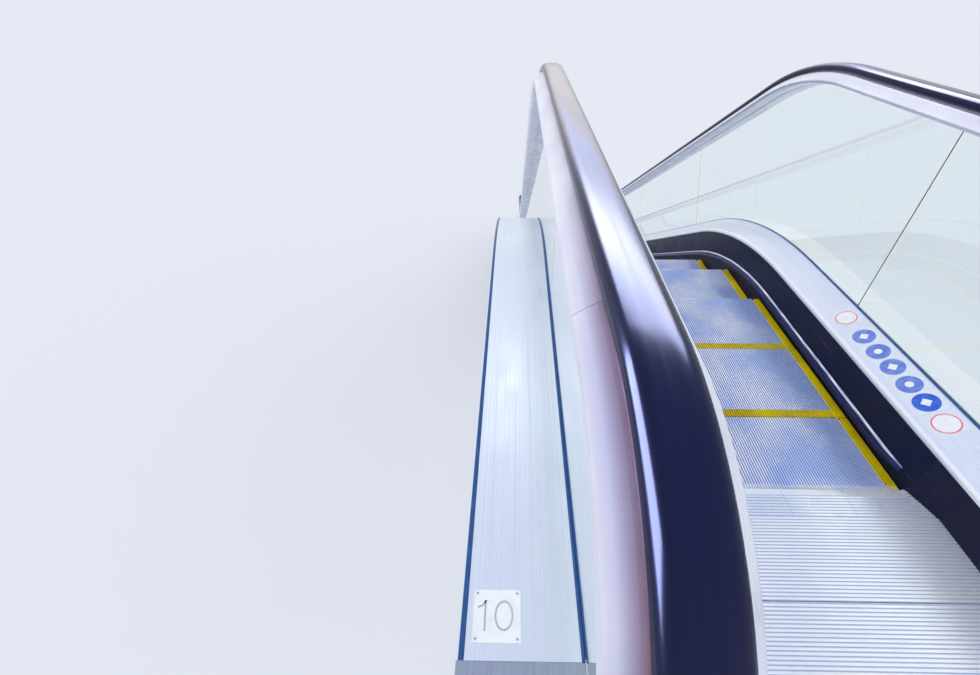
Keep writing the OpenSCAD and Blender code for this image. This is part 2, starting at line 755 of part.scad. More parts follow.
// Collar where the handrail runs into the balustrade
module inlet() {
    w = handrail_w / 2 + inlet_room;
    difference() {
        at_newel() over_bend(newel_r, profile_sweep + inlet_sweep) translate([handrail_x, 0]) difference() {
            inlet_rect(inlet_rim);
            rect(-w, -fit, w, handrail_t + inlet_room);
        }
        at_newel() over_bend(newel_r, profile_sweep) translate([handrail_x, 0]) inlet_rect(inlet_rim + 1);
    }
}
module handrail_inlets() color("#17181c") both_ends() both_sides() inlet();

// Plain plate with the machine's number, on the shared cover near its upper end
module number_plate() color("#f2f3f5") {
    cover_x = handrail_x + clamp_half + left_cover_w / 2;
    upper_end() translate([-cover_x - tag_off - tag_size / 2, -deck_back + tag_in, deck_h])
        cube([tag_size, tag_size, tag_t]);
}

truss_left();
truss_right();
truss_cross_beams();
landing_frames();
track_brackets();
step_tracks();
upper_support_angle();
lower_support_angle();
soffit_panels();
left_cladding();
right_cladding();
steps_1();
steps_2();
steps_3();
steps_4();
steps_5();
step_edge_inserts();
upper_comb();
lower_comb();
upper_floor_plates();
lower_floor_plates();
left_skirt();
right_skirt();
left_skirt_brush();
right_skirt_brush();
upper_newel_skirts();
lower_newel_skirts();
upper_newel_fronts();
lower_newel_fronts();
left_inner_deck();
right_inner_deck();
centre_cover();
right_outer_deck();
left_glass_clamp();
right_glass_clamp();
clamp_brackets();
left_glass();
right_glass();
left_handrail_profile();
right_handrail_profile();
left_handrail();
right_handrail();
handrail_inlets();
number_plate();
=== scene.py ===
import math
import bpy
from mathutils import Matrix, Vector


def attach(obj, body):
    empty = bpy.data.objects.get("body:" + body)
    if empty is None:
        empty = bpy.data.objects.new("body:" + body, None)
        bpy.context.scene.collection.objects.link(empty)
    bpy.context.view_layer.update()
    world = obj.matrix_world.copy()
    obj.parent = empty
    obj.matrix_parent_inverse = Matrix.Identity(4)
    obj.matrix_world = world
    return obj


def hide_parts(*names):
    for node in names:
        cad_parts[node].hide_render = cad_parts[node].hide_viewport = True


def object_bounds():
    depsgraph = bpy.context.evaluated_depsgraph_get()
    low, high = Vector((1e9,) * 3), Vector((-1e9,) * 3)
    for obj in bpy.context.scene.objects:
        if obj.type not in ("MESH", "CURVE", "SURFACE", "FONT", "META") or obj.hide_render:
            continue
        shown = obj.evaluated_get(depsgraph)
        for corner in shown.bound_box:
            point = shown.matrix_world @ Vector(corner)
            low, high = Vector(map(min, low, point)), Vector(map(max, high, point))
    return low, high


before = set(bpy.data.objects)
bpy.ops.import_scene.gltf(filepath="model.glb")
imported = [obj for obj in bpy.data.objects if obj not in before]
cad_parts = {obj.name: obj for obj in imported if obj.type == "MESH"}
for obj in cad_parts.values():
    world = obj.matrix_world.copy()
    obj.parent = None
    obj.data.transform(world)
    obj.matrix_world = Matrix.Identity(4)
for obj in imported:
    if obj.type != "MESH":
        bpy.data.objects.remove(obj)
cadLow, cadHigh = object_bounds()
print("frame loaded,", len(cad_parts), "nodes")

# The run of the escalator in metres and degrees, from the upper comb's root on the treads' level
travel = {
    "combY": 1.496,
    "treadZ": 0.075,
    "rise": 4.7,
    "incline": 30,
    "levelRun": 1.04,
    "noseBend": 1.8,
    "railLag": 0.06,
    "railHeight": 0.995,
    "railBend": 1.3,
    "newelBack": 0.44,
    "newelRadius": 0.4,
    "decksBack": 0.552,
}
slope = math.radians(travel["incline"])
halfTan = math.tan(slope / 2)
topCorner = (travel["levelRun"] + travel["noseBend"] * halfTan, 0)
lowCorner = (topCorner[0] + travel["rise"] / math.tan(slope), -travel["rise"])
lowCombY = topCorner[0] + lowCorner[0]
stepRoute = (topCorner, lowCorner, travel["noseBend"], travel["noseBend"])
railRoute = (
    (topCorner[0] + travel["railLag"], travel["railHeight"]),
    (lowCorner[0] + travel["railLag"], travel["railHeight"] - travel["rise"]),
    travel["railBend"],
    travel["noseBend"] - travel["railHeight"] / 2,
)


# Materials

def linearColor(code):  # sRGB hex to the linear values that the sockets take
    parts = [int(code[i:i + 2], 16) / 255 for i in (1, 3, 5)]
    return [p / 12.92 if p <= 0.04045 else ((p + 0.055) / 1.055) ** 2.4 for p in parts] + [1.0]


def addNode(tree, kind, settings, links):  # one node with its settings and what runs into it
    node = tree.nodes.new("ShaderNode" + kind)
    for key, value in settings.items():
        if isinstance(key, int) or key in node.inputs:
            node.inputs[key].default_value = value
        else:
            setattr(node, key, value)
    for key, source in links.items():
        tree.links.new(source, node.inputs[key])
    return node


def newMaterial(name, look):  # a Principled surface with its uniform values on its own sockets
    material = bpy.data.materials.new(name)
    material.use_nodes = True
    shader = material.node_tree.nodes["Principled BSDF"]
    for key, value in look.items():
        shader.inputs[key].default_value = linearColor(value) if isinstance(value, str) else value
    return material, material.node_tree


def metresAlong(tree):  # length along the sweep and round its section, stored with each swept mesh
    return addNode(tree, "Attribute", {"attribute_name": "metres"}, {}).outputs["Vector"]


def metresInSpace(tree):
    return addNode(tree, "TexCoord", {}, {}).outputs["Object"]


def stretchedNoise(tree, place, perMetre, detail):  # noise with a count of features per metre on each axis
    scaled = addNode(tree, "VectorMath", {"operation": "MULTIPLY", 1: perMetre}, {0: place})
    settings = {"Scale": 1.0, "Detail": detail}
    return addNode(tree, "TexNoise", settings, {"Vector": scaled.outputs[0]}).outputs["Fac"]


def between(tree, factor, low, high, start=0, end=1):  # factor low..high becomes start..end
    settings = {"From Min": low, "From Max": high, "To Min": start, "To Max": end}
    return addNode(tree, "MapRange", settings, {"Value": factor}).outputs["Result"]


def combined(tree, operation, first, second):
    return addNode(tree, "Math", {"operation": operation}, {0: first, 1: second}).outputs[0]


def onAxis(tree, vector, axis):
    return addNode(tree, "SeparateXYZ", {}, {0: vector}).outputs[axis]


def mixColors(tree, factor, first, second):
    stops = addNode(tree, "Mix", {"data_type": "RGBA"}, {"Factor": factor})
    for socket, colour in ((stops.inputs[6], first), (stops.inputs[7], second)):
        if isinstance(colour, str):
            socket.default_value = linearColor(colour)
        else:
            tree.links.new(colour, socket)
    return stops.outputs[2]


def bumpOf(tree, height, depth):  # a height of 0..1 raised by depth in metres
    settings = {"Strength": 1.0, "Distance": depth}
    return addNode(tree, "Bump", settings, {"Height": height}).outputs["Normal"]


def wired(material, links):  # the material, with what runs into its shader's sockets
    tree = material.node_tree
    for key, source in links.items():
        tree.links.new(source, tree.nodes["Principled BSDF"].inputs[key])
    return material


def brushedSteel(name, colour, smudge, place, perMetre, metallic=0.85):
    # 1.4301 stainless sheet, belt brushed with 240 grit: long fine lines, smudges that dull the shine
    material, tree = newMaterial(name, {"Metallic": metallic, "Roughness": 0.34})
    where = place(tree)
    lines = stretchedNoise(tree, where, perMetre, 2)
    dulled = between(tree, stretchedNoise(tree, where, (5, 9, 5), 4), 0.35, 0.7, 0, 0.14)
    return wired(material, {
        "Base Color": mixColors(tree, between(tree, lines, 0.3, 0.7), colour, smudge),
        "Roughness": combined(tree, "ADD", between(tree, lines, 0.3, 0.7, 0.24, 0.34), dulled),
        "Normal": bumpOf(tree, lines, 0.00003)})


def anodisedAluminium(sectionLength):
    # Extruded aluminium, satin anodised: pearly, with fine die lines, and rubber dust with painted shade
    # beside the handrail
    material, tree = newMaterial("satinAnodisedAluminium", {"Metallic": 0.7, "Roughness": 0.36})
    where = metresAlong(tree)
    dieLines = stretchedNoise(tree, where, (0.6, 420, 1), 2)
    hands = stretchedNoise(tree, where, (5, 14, 1), 4)
    middle = (0, travel["combY"] + lowCombY / 2, 0)
    fromMiddle = addNode(tree, "VectorMath", {"operation": "SUBTRACT", 1: middle}, {0: metresInSpace(tree)})
    alongTravel = onAxis(tree, fromMiddle.outputs[0], "Y")
    distance = addNode(tree, "Math", {"operation": "ABSOLUTE"}, {0: alongTravel}).outputs[0]
    nearEnds = between(tree, distance, lowCombY / 2 - 0.1, lowCombY / 2 + 0.5, 0.25, 1)
    across = onAxis(tree, where, "Y")
    # painted shade: a lavender fade beside the handrail's lip, stronger towards the ends
    paintedLipShade = combined(tree, "MULTIPLY", nearEnds, between(tree, across, 0.014, 0.06, 1, 0))
    outerLip = between(tree, across, sectionLength - 0.02, sectionLength - 0.004, 0, 0.8)
    lips = combined(tree, "MAXIMUM", between(tree, across, 0.008, 0.034, 1, 0), outerLip)
    handled = combined(tree, "MULTIPLY", nearEnds, between(tree, hands, 0.3, 0.65, 0.7, 1))
    # rubber dust and painted shade in the bands at both lips under the handrail
    dustAndPaintedShade = combined(tree, "MULTIPLY", lips, handled)
    clean = mixColors(tree, between(tree, hands, 0.35, 0.7), "#f6f7ff", "#e9e8f5")
    dulled = between(tree, hands, 0.4, 0.7, 0, 0.1)
    return wired(material, {
        "Base Color": mixColors(tree, dustAndPaintedShade, mixColors(tree, paintedLipShade, clean, "#b2b2de"), "#8a6a72"),
        "Roughness": combined(tree, "ADD", between(tree, dieLines, 0.3, 0.7, 0.24, 0.32), dulled),
        "Normal": bumpOf(tree, dieLines, 0.00002)})


def handrailRubber():
    # Moulded polyurethane cover, polished by hands: near black navy with a wet gloss and faint wipe marks
    material, tree = newMaterial("polishedHandrailRubber", {"IOR": 1.5, "Specular IOR Level": 0.2})
    wipes = stretchedNoise(tree, metresAlong(tree), (1.2, 60, 1), 3)
    return wired(material, {
        "Base Color": mixColors(tree, wipes, "#01062c", "#071042"),
        "Roughness": between(tree, wipes, 0.3, 0.7, 0.16, 0.26)})


def castAluminium(name, worn, cast, roughLow, roughHigh):
    # Die cast aluminium, its cleats polished by shoes: cloudy bright patches over a duller skin, which also
    # serve as painted reflections
    material, tree = newMaterial(name, {"Metallic": 0.45, "Roughness": 0.38})
    where = metresInSpace(tree)
    streaks = between(tree, stretchedNoise(tree, where, (34, 5, 5), 1), 0.3, 0.6, 0.7, 1)
    patches = stretchedNoise(tree, where, (3.6, 3.0, 3.0), 3)
    # bright patches: shoe wear, and painted reflection clouds
    wearAndPaintedReflection = combined(tree, "MULTIPLY", streaks, between(tree, patches, 0.42, 0.58))
    return wired(material, {
        "Base Color": mixColors(tree, wearAndPaintedReflection, cast, worn),
        "Roughness": between(tree, patches, 0.3, 0.7, roughLow, roughHigh)})


def clouded(name, look, place, perMetre, detail, first, second, spread=None):
    # A uniform surface whose colour drifts from first to second, sharper where the noise is spread
    material, tree = newMaterial(name, look)
    share = stretchedNoise(tree, place(tree), perMetre, detail)
    if spread:
        share = between(tree, share, *spread)
    return wired(material, {"Base Color": mixColors(tree, share, first, second)})


def grime(name, dark, light):
    # Packed dust and oil in the grooves: dull, uneven and darker than the metal
    look = {"Metallic": 0.1, "Roughness": 0.7}
    return clouded(name, look, metresInSpace, (60, 60, 60), 4, dark, light)


def wornYellow(name, wornTo, amount):
    # Road marking yellow on the metal, scraped through to it where shoes drag
    material, tree = newMaterial(name, {"IOR": 1.5, "Roughness": 0.5})
    where = metresInSpace(tree)
    scrapes = stretchedNoise(tree, where, (150, 14, 14), 4)
    dirt = stretchedNoise(tree, where, (9, 9, 9), 4)
    paint = mixColors(tree, between(tree, dirt, 0.35, 0.7), "#ddca00", "#bfa702")
    bare = between(tree, scrapes, 0.62 - amount, 0.7 - amount)
    return wired(material, {"Base Color": mixColors(tree, bare, paint, wornTo)})


def blackCoat():
    # Low friction black coating on the skirt sheet: satin, with pale scuffs and settled dust specks
    material, tree = newMaterial("blackSatinCoating", {
        "IOR": 1.5, "Roughness": 0.34, "Specular IOR Level": 0.25})
    where = metresInSpace(tree)
    scuffs = stretchedNoise(tree, where, (40, 7, 60), 4)
    specks = between(tree, stretchedNoise(tree, where, (160, 160, 160), 2), 0.74, 0.8, 0, 0.6)
    marks = combined(tree, "MAXIMUM", between(tree, scuffs, 0.64, 0.8, 0, 0.3), specks)
    return wired(material, {
        "Base Color": mixColors(tree, marks, "#0d1232", "#7a80a6"),
        "Roughness": between(tree, scuffs, 0.3, 0.8, 0.26, 0.5)})


def wipedSilicone(name, dark, light):
    # Neutral silicone wiped along the joint by hand: an uneven line with a soft gleam
    return clouded(name, {"IOR": 1.43, "Roughness": 0.3}, metresAlong, (25, 90, 1), 3, dark, light)


def toughenedGlass():
    # Toughened float glass, 12 mm: clear, with the faint green that iron gives it
    material, tree = newMaterial("clearToughenedGlass", {
        "Base Color": "#f5fbf9", "IOR": 1.52, "Roughness": 0.0, "Transmission Weight": 1.0})
    through = addNode(tree, "BsdfTransparent", {"Color": linearColor("#f0f8f5")}, {})
    rays = addNode(tree, "LightPath", {}, {})
    panes = addNode(tree, "MixShader", {}, {
        0: rays.outputs["Is Shadow Ray"], 1: tree.nodes["Principled BSDF"].outputs[0], 2: through.outputs[0]})
    tree.links.new(panes.outputs[0], tree.nodes["Material Output"].inputs["Surface"])
    return material


def sprayedSteel(name, colour, dusty):
    # Structural steel, grit blasted and sprayed: matt grey with orange peel and dust on top
    material, tree = newMaterial(name, {"IOR": 1.5, "Roughness": 0.6})
    where = metresInSpace(tree)
    return wired(material, {
        "Base Color": mixColors(tree, stretchedNoise(tree, where, (3, 3, 3), 5), colour, dusty),
        "Normal": bumpOf(tree, stretchedNoise(tree, where, (260, 260, 260), 1), 0.0001)})


def mouldedBlack():
    # Injection moulded black ABS with a fine spark eroded grain
    material, tree = newMaterial("mouldedBlackAbs", {
        "Base Color": "#15161a", "IOR": 1.53, "Roughness": 0.45})
    grain = stretchedNoise(tree, metresInSpace(tree), (900, 900, 900), 1)
    return wired(material, {"Normal": bumpOf(tree, grain, 0.00005)})


def vinylFilm(name, colour, faded):
    # Printed vinyl sticker, faded and rubbed: flat ink with pale worn patches
    look, worn = {"IOR": 1.5, "Roughness": 0.42}, (0.42, 0.75, 0, 0.8)
    return clouded(name, look, metresInSpace, (45, 45, 45), 4, colour, faded, worn)


finish = {
    "deck": brushedSteel("brushedStainlessDeck", "#f7faff", "#e3eafa", metresAlong, (0.8, 700, 1)),
    # the deck's rounded nose: whiter and less metallic than the sheet, a painted highlight along it
    "deckNoseHighlight": brushedSteel("stainlessNosePaintedHighlight", "#ffffff", "#f1f5fc", metresAlong, (0.8, 300, 1), 0.4),
    "outerDeck": brushedSteel("brushedStainlessOuterDeck", "#ffffff", "#f2f3f2", metresAlong, (0.8, 700, 1)),
    "cover": brushedSteel("brushedStainlessCover", "#f0f6fc", "#d8e3ef", metresAlong, (0.8, 500, 1)),
    "cladding": brushedSteel("brushedStainlessCladding", "#cdd1d6", "#b7bcc4", metresInSpace, (2, 2, 900)),
    "soffit": brushedSteel("brushedStainlessSoffit", "#cdd1d6", "#b7bcc4", metresInSpace, (700, 1.5, 1.5)),
    "front": brushedSteel("brushedStainlessFront", "#b3bccb", "#97a2b4", metresInSpace, (900, 2, 2)),
    "profile": anodisedAluminium(0.3),
    "handrail": handrailRubber(),
    "tread": castAluminium("wornCastTread", "#fdfeff", "#bed2fb", 0.26, 0.38),
    "casting": castAluminium("castStepBody", "#9aa6bd", "#828ca3", 0.42, 0.55),
    "groove": grime("treadGrooveGrime", "#8aa2e2", "#aabff2"),
    "comb": castAluminium("polishedCombAluminium", "#fbfcff", "#e0e7f6", 0.2, 0.34),
    "floor": castAluminium("ribbedFloorAluminium", "#fbfcff", "#eff3fc", 0.28, 0.36),
    "floorGroove": grime("floorGrooveGrime", "#a9b8da", "#c6d2ee"),
    "edgeYellow": wornYellow("yellowEdgeInsert", "#b5a63a", 0.0),
    "stripYellow": wornYellow("yellowTreadPaint", "#c9bb4c", 0.04),
    "skirt": blackCoat(),
    "holder": clouded(  # dark anodised extrusion that holds the bristles: violet grey, satin
        "darkAnodisedHolder", {"Metallic": 0.6, "Roughness": 0.4},
        metresAlong, (9, 200, 1), 3, "#22264e", "#4c5289", (0.4, 0.7)),
    "crest": clouded(  # its upper edge: anodising rubbed bright by shoes and cloths, and a painted highlight along the bevel
        "rubbedAndHighlightedCrest", {"Metallic": 0.7, "Roughness": 0.3},
        metresAlong, (14, 200, 1), 3, "#8f96c4", "#fbfcff", (0.35, 0.65)),
    "bristle": clouded(  # black nylon 6.6: dull, with dust at the tips
        "blackNylonBristle", {"IOR": 1.53, "Roughness": 0.55},
        metresInSpace, (300, 300, 300), 2, "#0a0c18", "#2e3048", (0.5, 0.8)),
    "seal": wipedSilicone("darkBlueSilicone", "#10305e", "#2c62a8"),
    "paleSeal": wipedSilicone("paleGreySilicone", "#c3ccd4", "#dfe6ea"),
    "glass": toughenedGlass(),
    "truss": sprayedSteel("sprayedTrussSteel", "#5f656b", "#7b8085"),
    "track": sprayedSteel("greasedTrackSteel", "#4d5257", "#3a3d40"),
    "moulding": mouldedBlack(),
    "paleFilm": vinylFilm("paleVinylFilm", "#eef0f6", "#dfe3ee"),
    "backing": vinylFilm("backingVinylFilm", "#dde4f3", "#d2daec"),
    "redFilm": vinylFilm("redVinylFilm", "#ec4a6a", "#f190a4"),
    "blueFilm": vinylFilm("blueVinylFilm", "#1f57cf", "#4a78dc"),
    "fadedFilm": vinylFilm("fadedBlueVinylFilm", "#5e7bd2", "#8da3e0"),
    "digitFilm": vinylFilm("greyVinylFilm", "#a3adc2", "#bcc5d6"),
}
print("materials made,", len(finish))


# Shapes

def upperBend(route, turn):  # (y, z) in the upper bend, where the route points down by turn
    (topY, topZ), _, radius, _ = route
    return topY + radius * (math.sin(turn) - halfTan), topZ - radius * (1 - math.cos(turn))


def lowerBend(route, turn):
    _, (lowY, lowZ), _, radius = route
    return lowY - radius * (math.sin(turn) - halfTan), lowZ + radius * (1 - math.cos(turn))


def routeStations(route, start, end, newelTurn=0, bendSteps=16):  # (y, z, downward angle) from start to end
    topZ, lowZ, radius = route[0][1], route[1][1], travel["newelRadius"]
    newelSteps = math.ceil(newelTurn / math.radians(3))
    turns = [newelTurn * (k + 1) / newelSteps for k in range(newelSteps)]
    newel = [(radius * math.sin(t), radius * (1 - math.cos(t)), t) for t in turns]
    bends = [slope * k / bendSteps for k in range(bendSteps + 1)]
    stations = [(start - out, topZ - down, -t) for out, down, t in reversed(newel)] + [(start, topZ, 0)]
    stations += [(*upperBend(route, t), t) for t in bends]
    stations += [(*lowerBend(route, t), t) for t in reversed(bends)]
    return stations + [(end, lowZ, 0)] + [(end + out, lowZ - down, t) for out, down, t in newel]


def routeAt(route, y):  # height and downward angle of a route at y
    (topY, topZ), (_, lowZ), topRadius, lowRadius = route
    bendStart, footEnd = upperBend(route, 0)[0], lowerBend(route, 0)[0]
    if y < bendStart:
        return topZ, 0
    if y < upperBend(route, slope)[0]:
        turn = math.asin((y - bendStart) / topRadius)
        return upperBend(route, turn)[1], turn
    if y < lowerBend(route, slope)[0]:
        return topZ - (y - topY) * math.tan(slope), slope
    if y < footEnd:
        turn = math.asin((footEnd - y) / lowRadius)
        return lowerBend(route, turn)[1], turn
    return lowZ, 0


def rounded(corners, pieces=4):  # corners are (x, height, radius), and a radius of 0 stays sharp
    outline = []
    for i, (x, h, radius) in enumerate(corners):
        here = Vector((x, h))
        if not radius:
            outline.append((x, h))
            continue
        before = (Vector(corners[i - 1][:2]) - here).normalized()
        after = (Vector(corners[(i + 1) % len(corners)][:2]) - here).normalized()
        half = before.angle(after) / 2
        centre = here + (before + after).normalized() * radius / math.sin(half)
        first = here + before * radius / math.tan(half) - centre
        last = here + after * radius / math.tan(half) - centre
        turn = first.angle_signed(last)
        for k in range(pieces + 1):
            arm = first.copy()
            arm.rotate(Matrix.Rotation(-turn * k / pieces, 2))
            outline.append(tuple(centre + arm))
    return outline


def sweepPart(section, stations, slots=0, taper=None):
    # A closed section of (x, height) carried along the stations: points, faces, face slots, metres of points
    count = len(section)
    around = [0.0]
    for k in range(1, count):
        around.append(around[-1] + math.dist(section[k], section[k - 1]))
    points, faces, faceSlots, metres = [], [], [], []
    length = 0.0
    for i, (y, z, turn) in enumerate(stations):
        if i:
            length += math.dist((y, z), stations[i - 1][:2])
        shape = taper(section, i) if taper else section
        for k, (x, h) in enumerate(shape):
            points.append((x, y + h * math.sin(turn), z + h * math.cos(turn)))
            metres.append((length, around[k], 0))
        if i:
            low = (i - 1) * count
            for k in range(count):
                past = (k + 1) % count
                faces.append((low + k, low + count + k, low + count + past, low + past))
                faceSlots.append(slots[k] if isinstance(slots, list) else slots)
    capSlot = slots[-1] if isinstance(slots, list) else slots
    faces += [tuple(range(count)), tuple(reversed(range(len(points) - count, len(points))))]
    faceSlots += [capSlot, capSlot]
    return points, faces, faceSlots, metres


def roundOutline(radius, sides=48):
    turns = [2 * math.pi * k / sides for k in range(sides)]
    return [(radius * math.cos(t), radius * math.sin(t)) for t in turns]


def prismPart(outline, low, high, slots=0):  # an outline of (y, z) drawn out from x low to x high
    points, faces, faceSlots, metres = sweepPart(outline, [(0, 0, 0), (0, 0, 0)], slots)
    count = len(outline)
    points = [(low if i < count else high, *outline[i % count]) for i in range(2 * count)]
    return points, faces, faceSlots, metres


def inLengths(stations, cuts, gap=0.0009):  # the stations of each length between open joints at these y
    runs, run = [], [stations[0]]
    for before, after in zip(stations, stations[1:]):
        for cut in cuts:
            if before[0] < cut <= after[0]:
                ends = []
                for side in (-gap / 2, gap / 2):
                    share = (cut + side - before[0]) / (after[0] - before[0])
                    ends.append(tuple(a + (b - a) * share for a, b in zip(before, after)))
                runs.append(run + [ends[0]])
                run = [ends[1]]
        run.append(after)
    return runs + [run]


def jointsFrom(first, pitch):  # y of the joints from the first one down to the lower landing
    return [first + k * pitch for k in range(math.ceil((lowCombY - first) / pitch))]


def shiftedPart(part, by):
    points, faces, faceSlots, metres = part
    return [(x + by[0], y + by[1], z + by[2]) for x, y, z in points], faces, faceSlots, metres


def mirroredPart(part):  # to the other side of the middle plane
    points, faces, faceSlots, metres = part
    return [(-x, y, z) for x, y, z in points], [tuple(reversed(f)) for f in faces], faceSlots, metres


def lowerEndPart(part):  # from the upper comb's frame to the lower comb's
    points, faces, faceSlots, metres = part
    turned = [(x, lowCombY - y, z - travel["rise"]) for x, y, z in points]
    return turned, [tuple(reversed(f)) for f in faces], faceSlots, metres


def bothSides(parts):
    return parts + [mirroredPart(p) for p in parts]


def makePiece(name, parts, materials, replaced=(), sharpAngle=32):
    points, faces, faceSlots, metres = [], [], [], []
    for part in parts:
        start = len(points)
        points += [(x, y + travel["combY"], z + travel["treadZ"]) for x, y, z in part[0]]
        faces += [tuple(start + i for i in f) for f in part[1]]
        faceSlots += part[2]
        metres += part[3]
    mesh = bpy.data.meshes.new(name)
    mesh.from_pydata(points, [], faces)
    for material in materials:
        mesh.materials.append(material)
    mesh.polygons.foreach_set("material_index", faceSlots)
    place = mesh.attributes.new("metres", "FLOAT_VECTOR", "POINT")
    place.data.foreach_set("vector", [value for m in metres for value in m])
    mesh.shade_smooth()
    mesh.set_sharp_from_angle(angle=math.radians(sharpAngle))
    mesh.update()
    piece = bpy.data.objects.new(name, mesh)
    bpy.context.scene.collection.objects.link(piece)
    if replaced:
        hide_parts(*replaced)
    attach(piece, "root")


def makePair(places, name, parts, materials, node):  # one piece, and the same turned to its place
    for place, turned in places:
        chosen = [turned(p) for p in parts]
        makePiece(place + name, chosen, materials, [f"{place}_{node}"])


rightAndLeft = (("right", lambda part: part), ("left", mirroredPart))
upperAndLower = (("upper", lambda part: part), ("lower", lowerEndPart))


# Steps

stepSizes = {
    "firstNose": 0.311,   # path length from the upper comb to the first nose
    "pitch": 0.4,
    "gap": 0.004,
    "count": 32,
    "perPiece": 7,
    "halfWidth": 0.4986,
    "cleatPitch": 0.009,
    "cleatWidth": 0.0045,
    "cleatHeight": 0.01,
    "draft": 0.0005,
    "plate": 0.008,
    "riserThickness": 0.007,
    "riserRib": 0.003,
    "riserGroove": (0.0024, 0.0019),  # half widths of a groove at its mouth and its floor
    "riserLap": 0.006,
    "insertWidth": 0.0306,
    "stripDepth": 0.035,
    "cheekInset": 0.04,
    "cheekWidth": 0.012,
    "cheekBack": 0.008,
    "cheekFront": 0.001,
    "chainAxle": (-0.35, -0.11),
    "trailAxleY": -0.11,
    "axleBoss": 0.02,
    "rollerRadius": 0.038,
    "rollerWidth": 0.022,
    "rollerRise": 0.007,
}


def noseAt(s):  # place of the step nose at a length along its path
    radius = travel["noseBend"]
    bendLength = radius * slope
    slopeLength = math.dist(topCorner, lowCorner) - 2 * radius * halfTan
    rest = s - travel["levelRun"]
    if rest < 0:
        return s, 0
    if rest < bendLength:
        return upperBend(stepRoute, rest / radius)
    rest -= bendLength
    if rest < slopeLength:
        y, z = upperBend(stepRoute, slope)
        return y + rest * math.cos(slope), z - rest * math.sin(slope)
    rest -= slopeLength
    if rest < bendLength:
        return lowerBend(stepRoute, slope - rest / radius)
    y, z = lowerBend(stepRoute, 0)
    return y + rest - bendLength, z


def cleatOutline(low, high, base):  # (x, height) over the cleats from low to high, and back along the base
    pitch, half, deep = stepSizes["cleatPitch"], stepSizes["cleatWidth"] / 2, -stepSizes["cleatHeight"]
    foot = half + stepSizes["draft"]
    outline, slots = [(low, base), (low, deep)], [1, 1]
    for i in range(math.ceil((low + half) / pitch), math.floor((high - half) / pitch) + 1):
        x = i * pitch
        outline += [(x - foot, deep), (x - half, 0), (x + half, 0), (x + foot, deep)]
        slots += [1, 0, 1, 1]
    return outline + [(high, deep), (high, base)], slots + [1, 1]


def treadParts(half, insert, depth):
    base = -stepSizes["cleatHeight"] - stepSizes["plate"]
    stripEnd = stepSizes["stripDepth"] - depth
    middle, slots = cleatOutline(-half + insert, half - insert, base)
    side, sideSlots = cleatOutline(half - insert, half, base + stepSizes["plate"] / 2)
    treads = [
        sweepPart(middle, [(-depth, 0, 0), (stripEnd, 0, 0)], 2),
        sweepPart(middle, [(stripEnd, 0, 0), (0, 0, 0)], slots),
    ]
    return treads, bothSides([sweepPart(side, [(-depth, 0, 0), (0, 0, 0)], sideSlots)])


def riserPart(half, depth, drop):  # an arc about the nose of the step above, ribbed to mesh with its cleats
    pitch, rib, thickness = stepSizes["cleatPitch"], stepSizes["riserRib"], stepSizes["riserThickness"]
    mouth, floor = stepSizes["riserGroove"]
    count = math.floor(half / pitch) - 1
    section, slots = [(-half, -thickness), (-half, 0)], [1, 0]
    for i in range(-count, count):
        x = (i + 0.5) * pitch
        section += [(x - mouth, 0), (x - floor, -rib), (x + floor, -rib), (x + mouth, 0)]
        slots += [1, 1, 1, 0]
    section += [(half, 0), (half, -thickness)]
    slots += [0, 1]
    first, last = math.asin(stepSizes["cleatHeight"] / depth), math.asin(drop / depth)
    turns = [first + (last - first) * k / 6 for k in range(7)]
    stations = [(-depth + depth * math.cos(t), -depth * math.sin(t), math.pi / 2 + t) for t in turns]
    return sweepPart(section, stations, slots)


def discPart(x, y, z, radius, width, slot):
    return prismPart([(y + a, z + b) for a, b in roundOutline(radius, 32)], x, x + width, slot)


def makeSteps():
    half, depth = stepSizes["halfWidth"], stepSizes["pitch"] - stepSizes["gap"]
    drop = stepSizes["pitch"] * math.sin(slope) + stepSizes["riserLap"]
    under = -stepSizes["cleatHeight"] - stepSizes["plate"]
    radius, width, boss = stepSizes["rollerRadius"], stepSizes["rollerWidth"], stepSizes["axleBoss"]
    chainAxle = stepSizes["chainAxle"]
    trailAxle = (stepSizes["trailAxleY"], radius - drop - stepSizes["rollerRise"])
    bosses = [(y + side * boss, z - boss, boss / 2) for y, z in (chainAxle, trailAxle) for side in (-1, 1)]
    cheek = rounded([
        (stepSizes["cheekBack"] - depth, under, 0), *bosses,
        (-stepSizes["riserThickness"] - stepSizes["cheekFront"], under, 0)])
    outside = half - stepSizes["cheekInset"]
    inside = outside - stepSizes["cheekWidth"]
    sides = [
        prismPart(cheek, inside, outside, 3),
        discPart(outside, *chainAxle, radius, width, 4),
        discPart(inside - width, *trailAxle, radius, width, 4),
    ]
    treads, inserts = treadParts(half, stepSizes["insertWidth"], depth)
    parts = treads + [riserPart(half, depth, drop)] + bothSides(sides)
    count, perPiece = stepSizes["count"], stepSizes["perPiece"]
    noses = [noseAt(stepSizes["firstNose"] + k * stepSizes["pitch"]) for k in range(count)]
    materials = [finish[k] for k in ("tread", "groove", "stripYellow", "casting", "moulding")]
    for group in range(math.ceil(count / perPiece)):
        chosen = noses[group * perPiece:(group + 1) * perPiece]
        placed = [shiftedPart(p, (0, y, z)) for y, z in chosen for p in parts]
        makePiece(f"stepBand{group + 1}", placed, materials, [f"steps_{group + 1}"])
    placed = [shiftedPart(p, (0, y, z)) for y, z in noses for p in inserts]
    yellow = [finish["edgeYellow"]] * 2
    makePiece("yellowEdges", placed, yellow, ["step_edge_inserts"])


makeSteps()
print("steps made")


# Combs

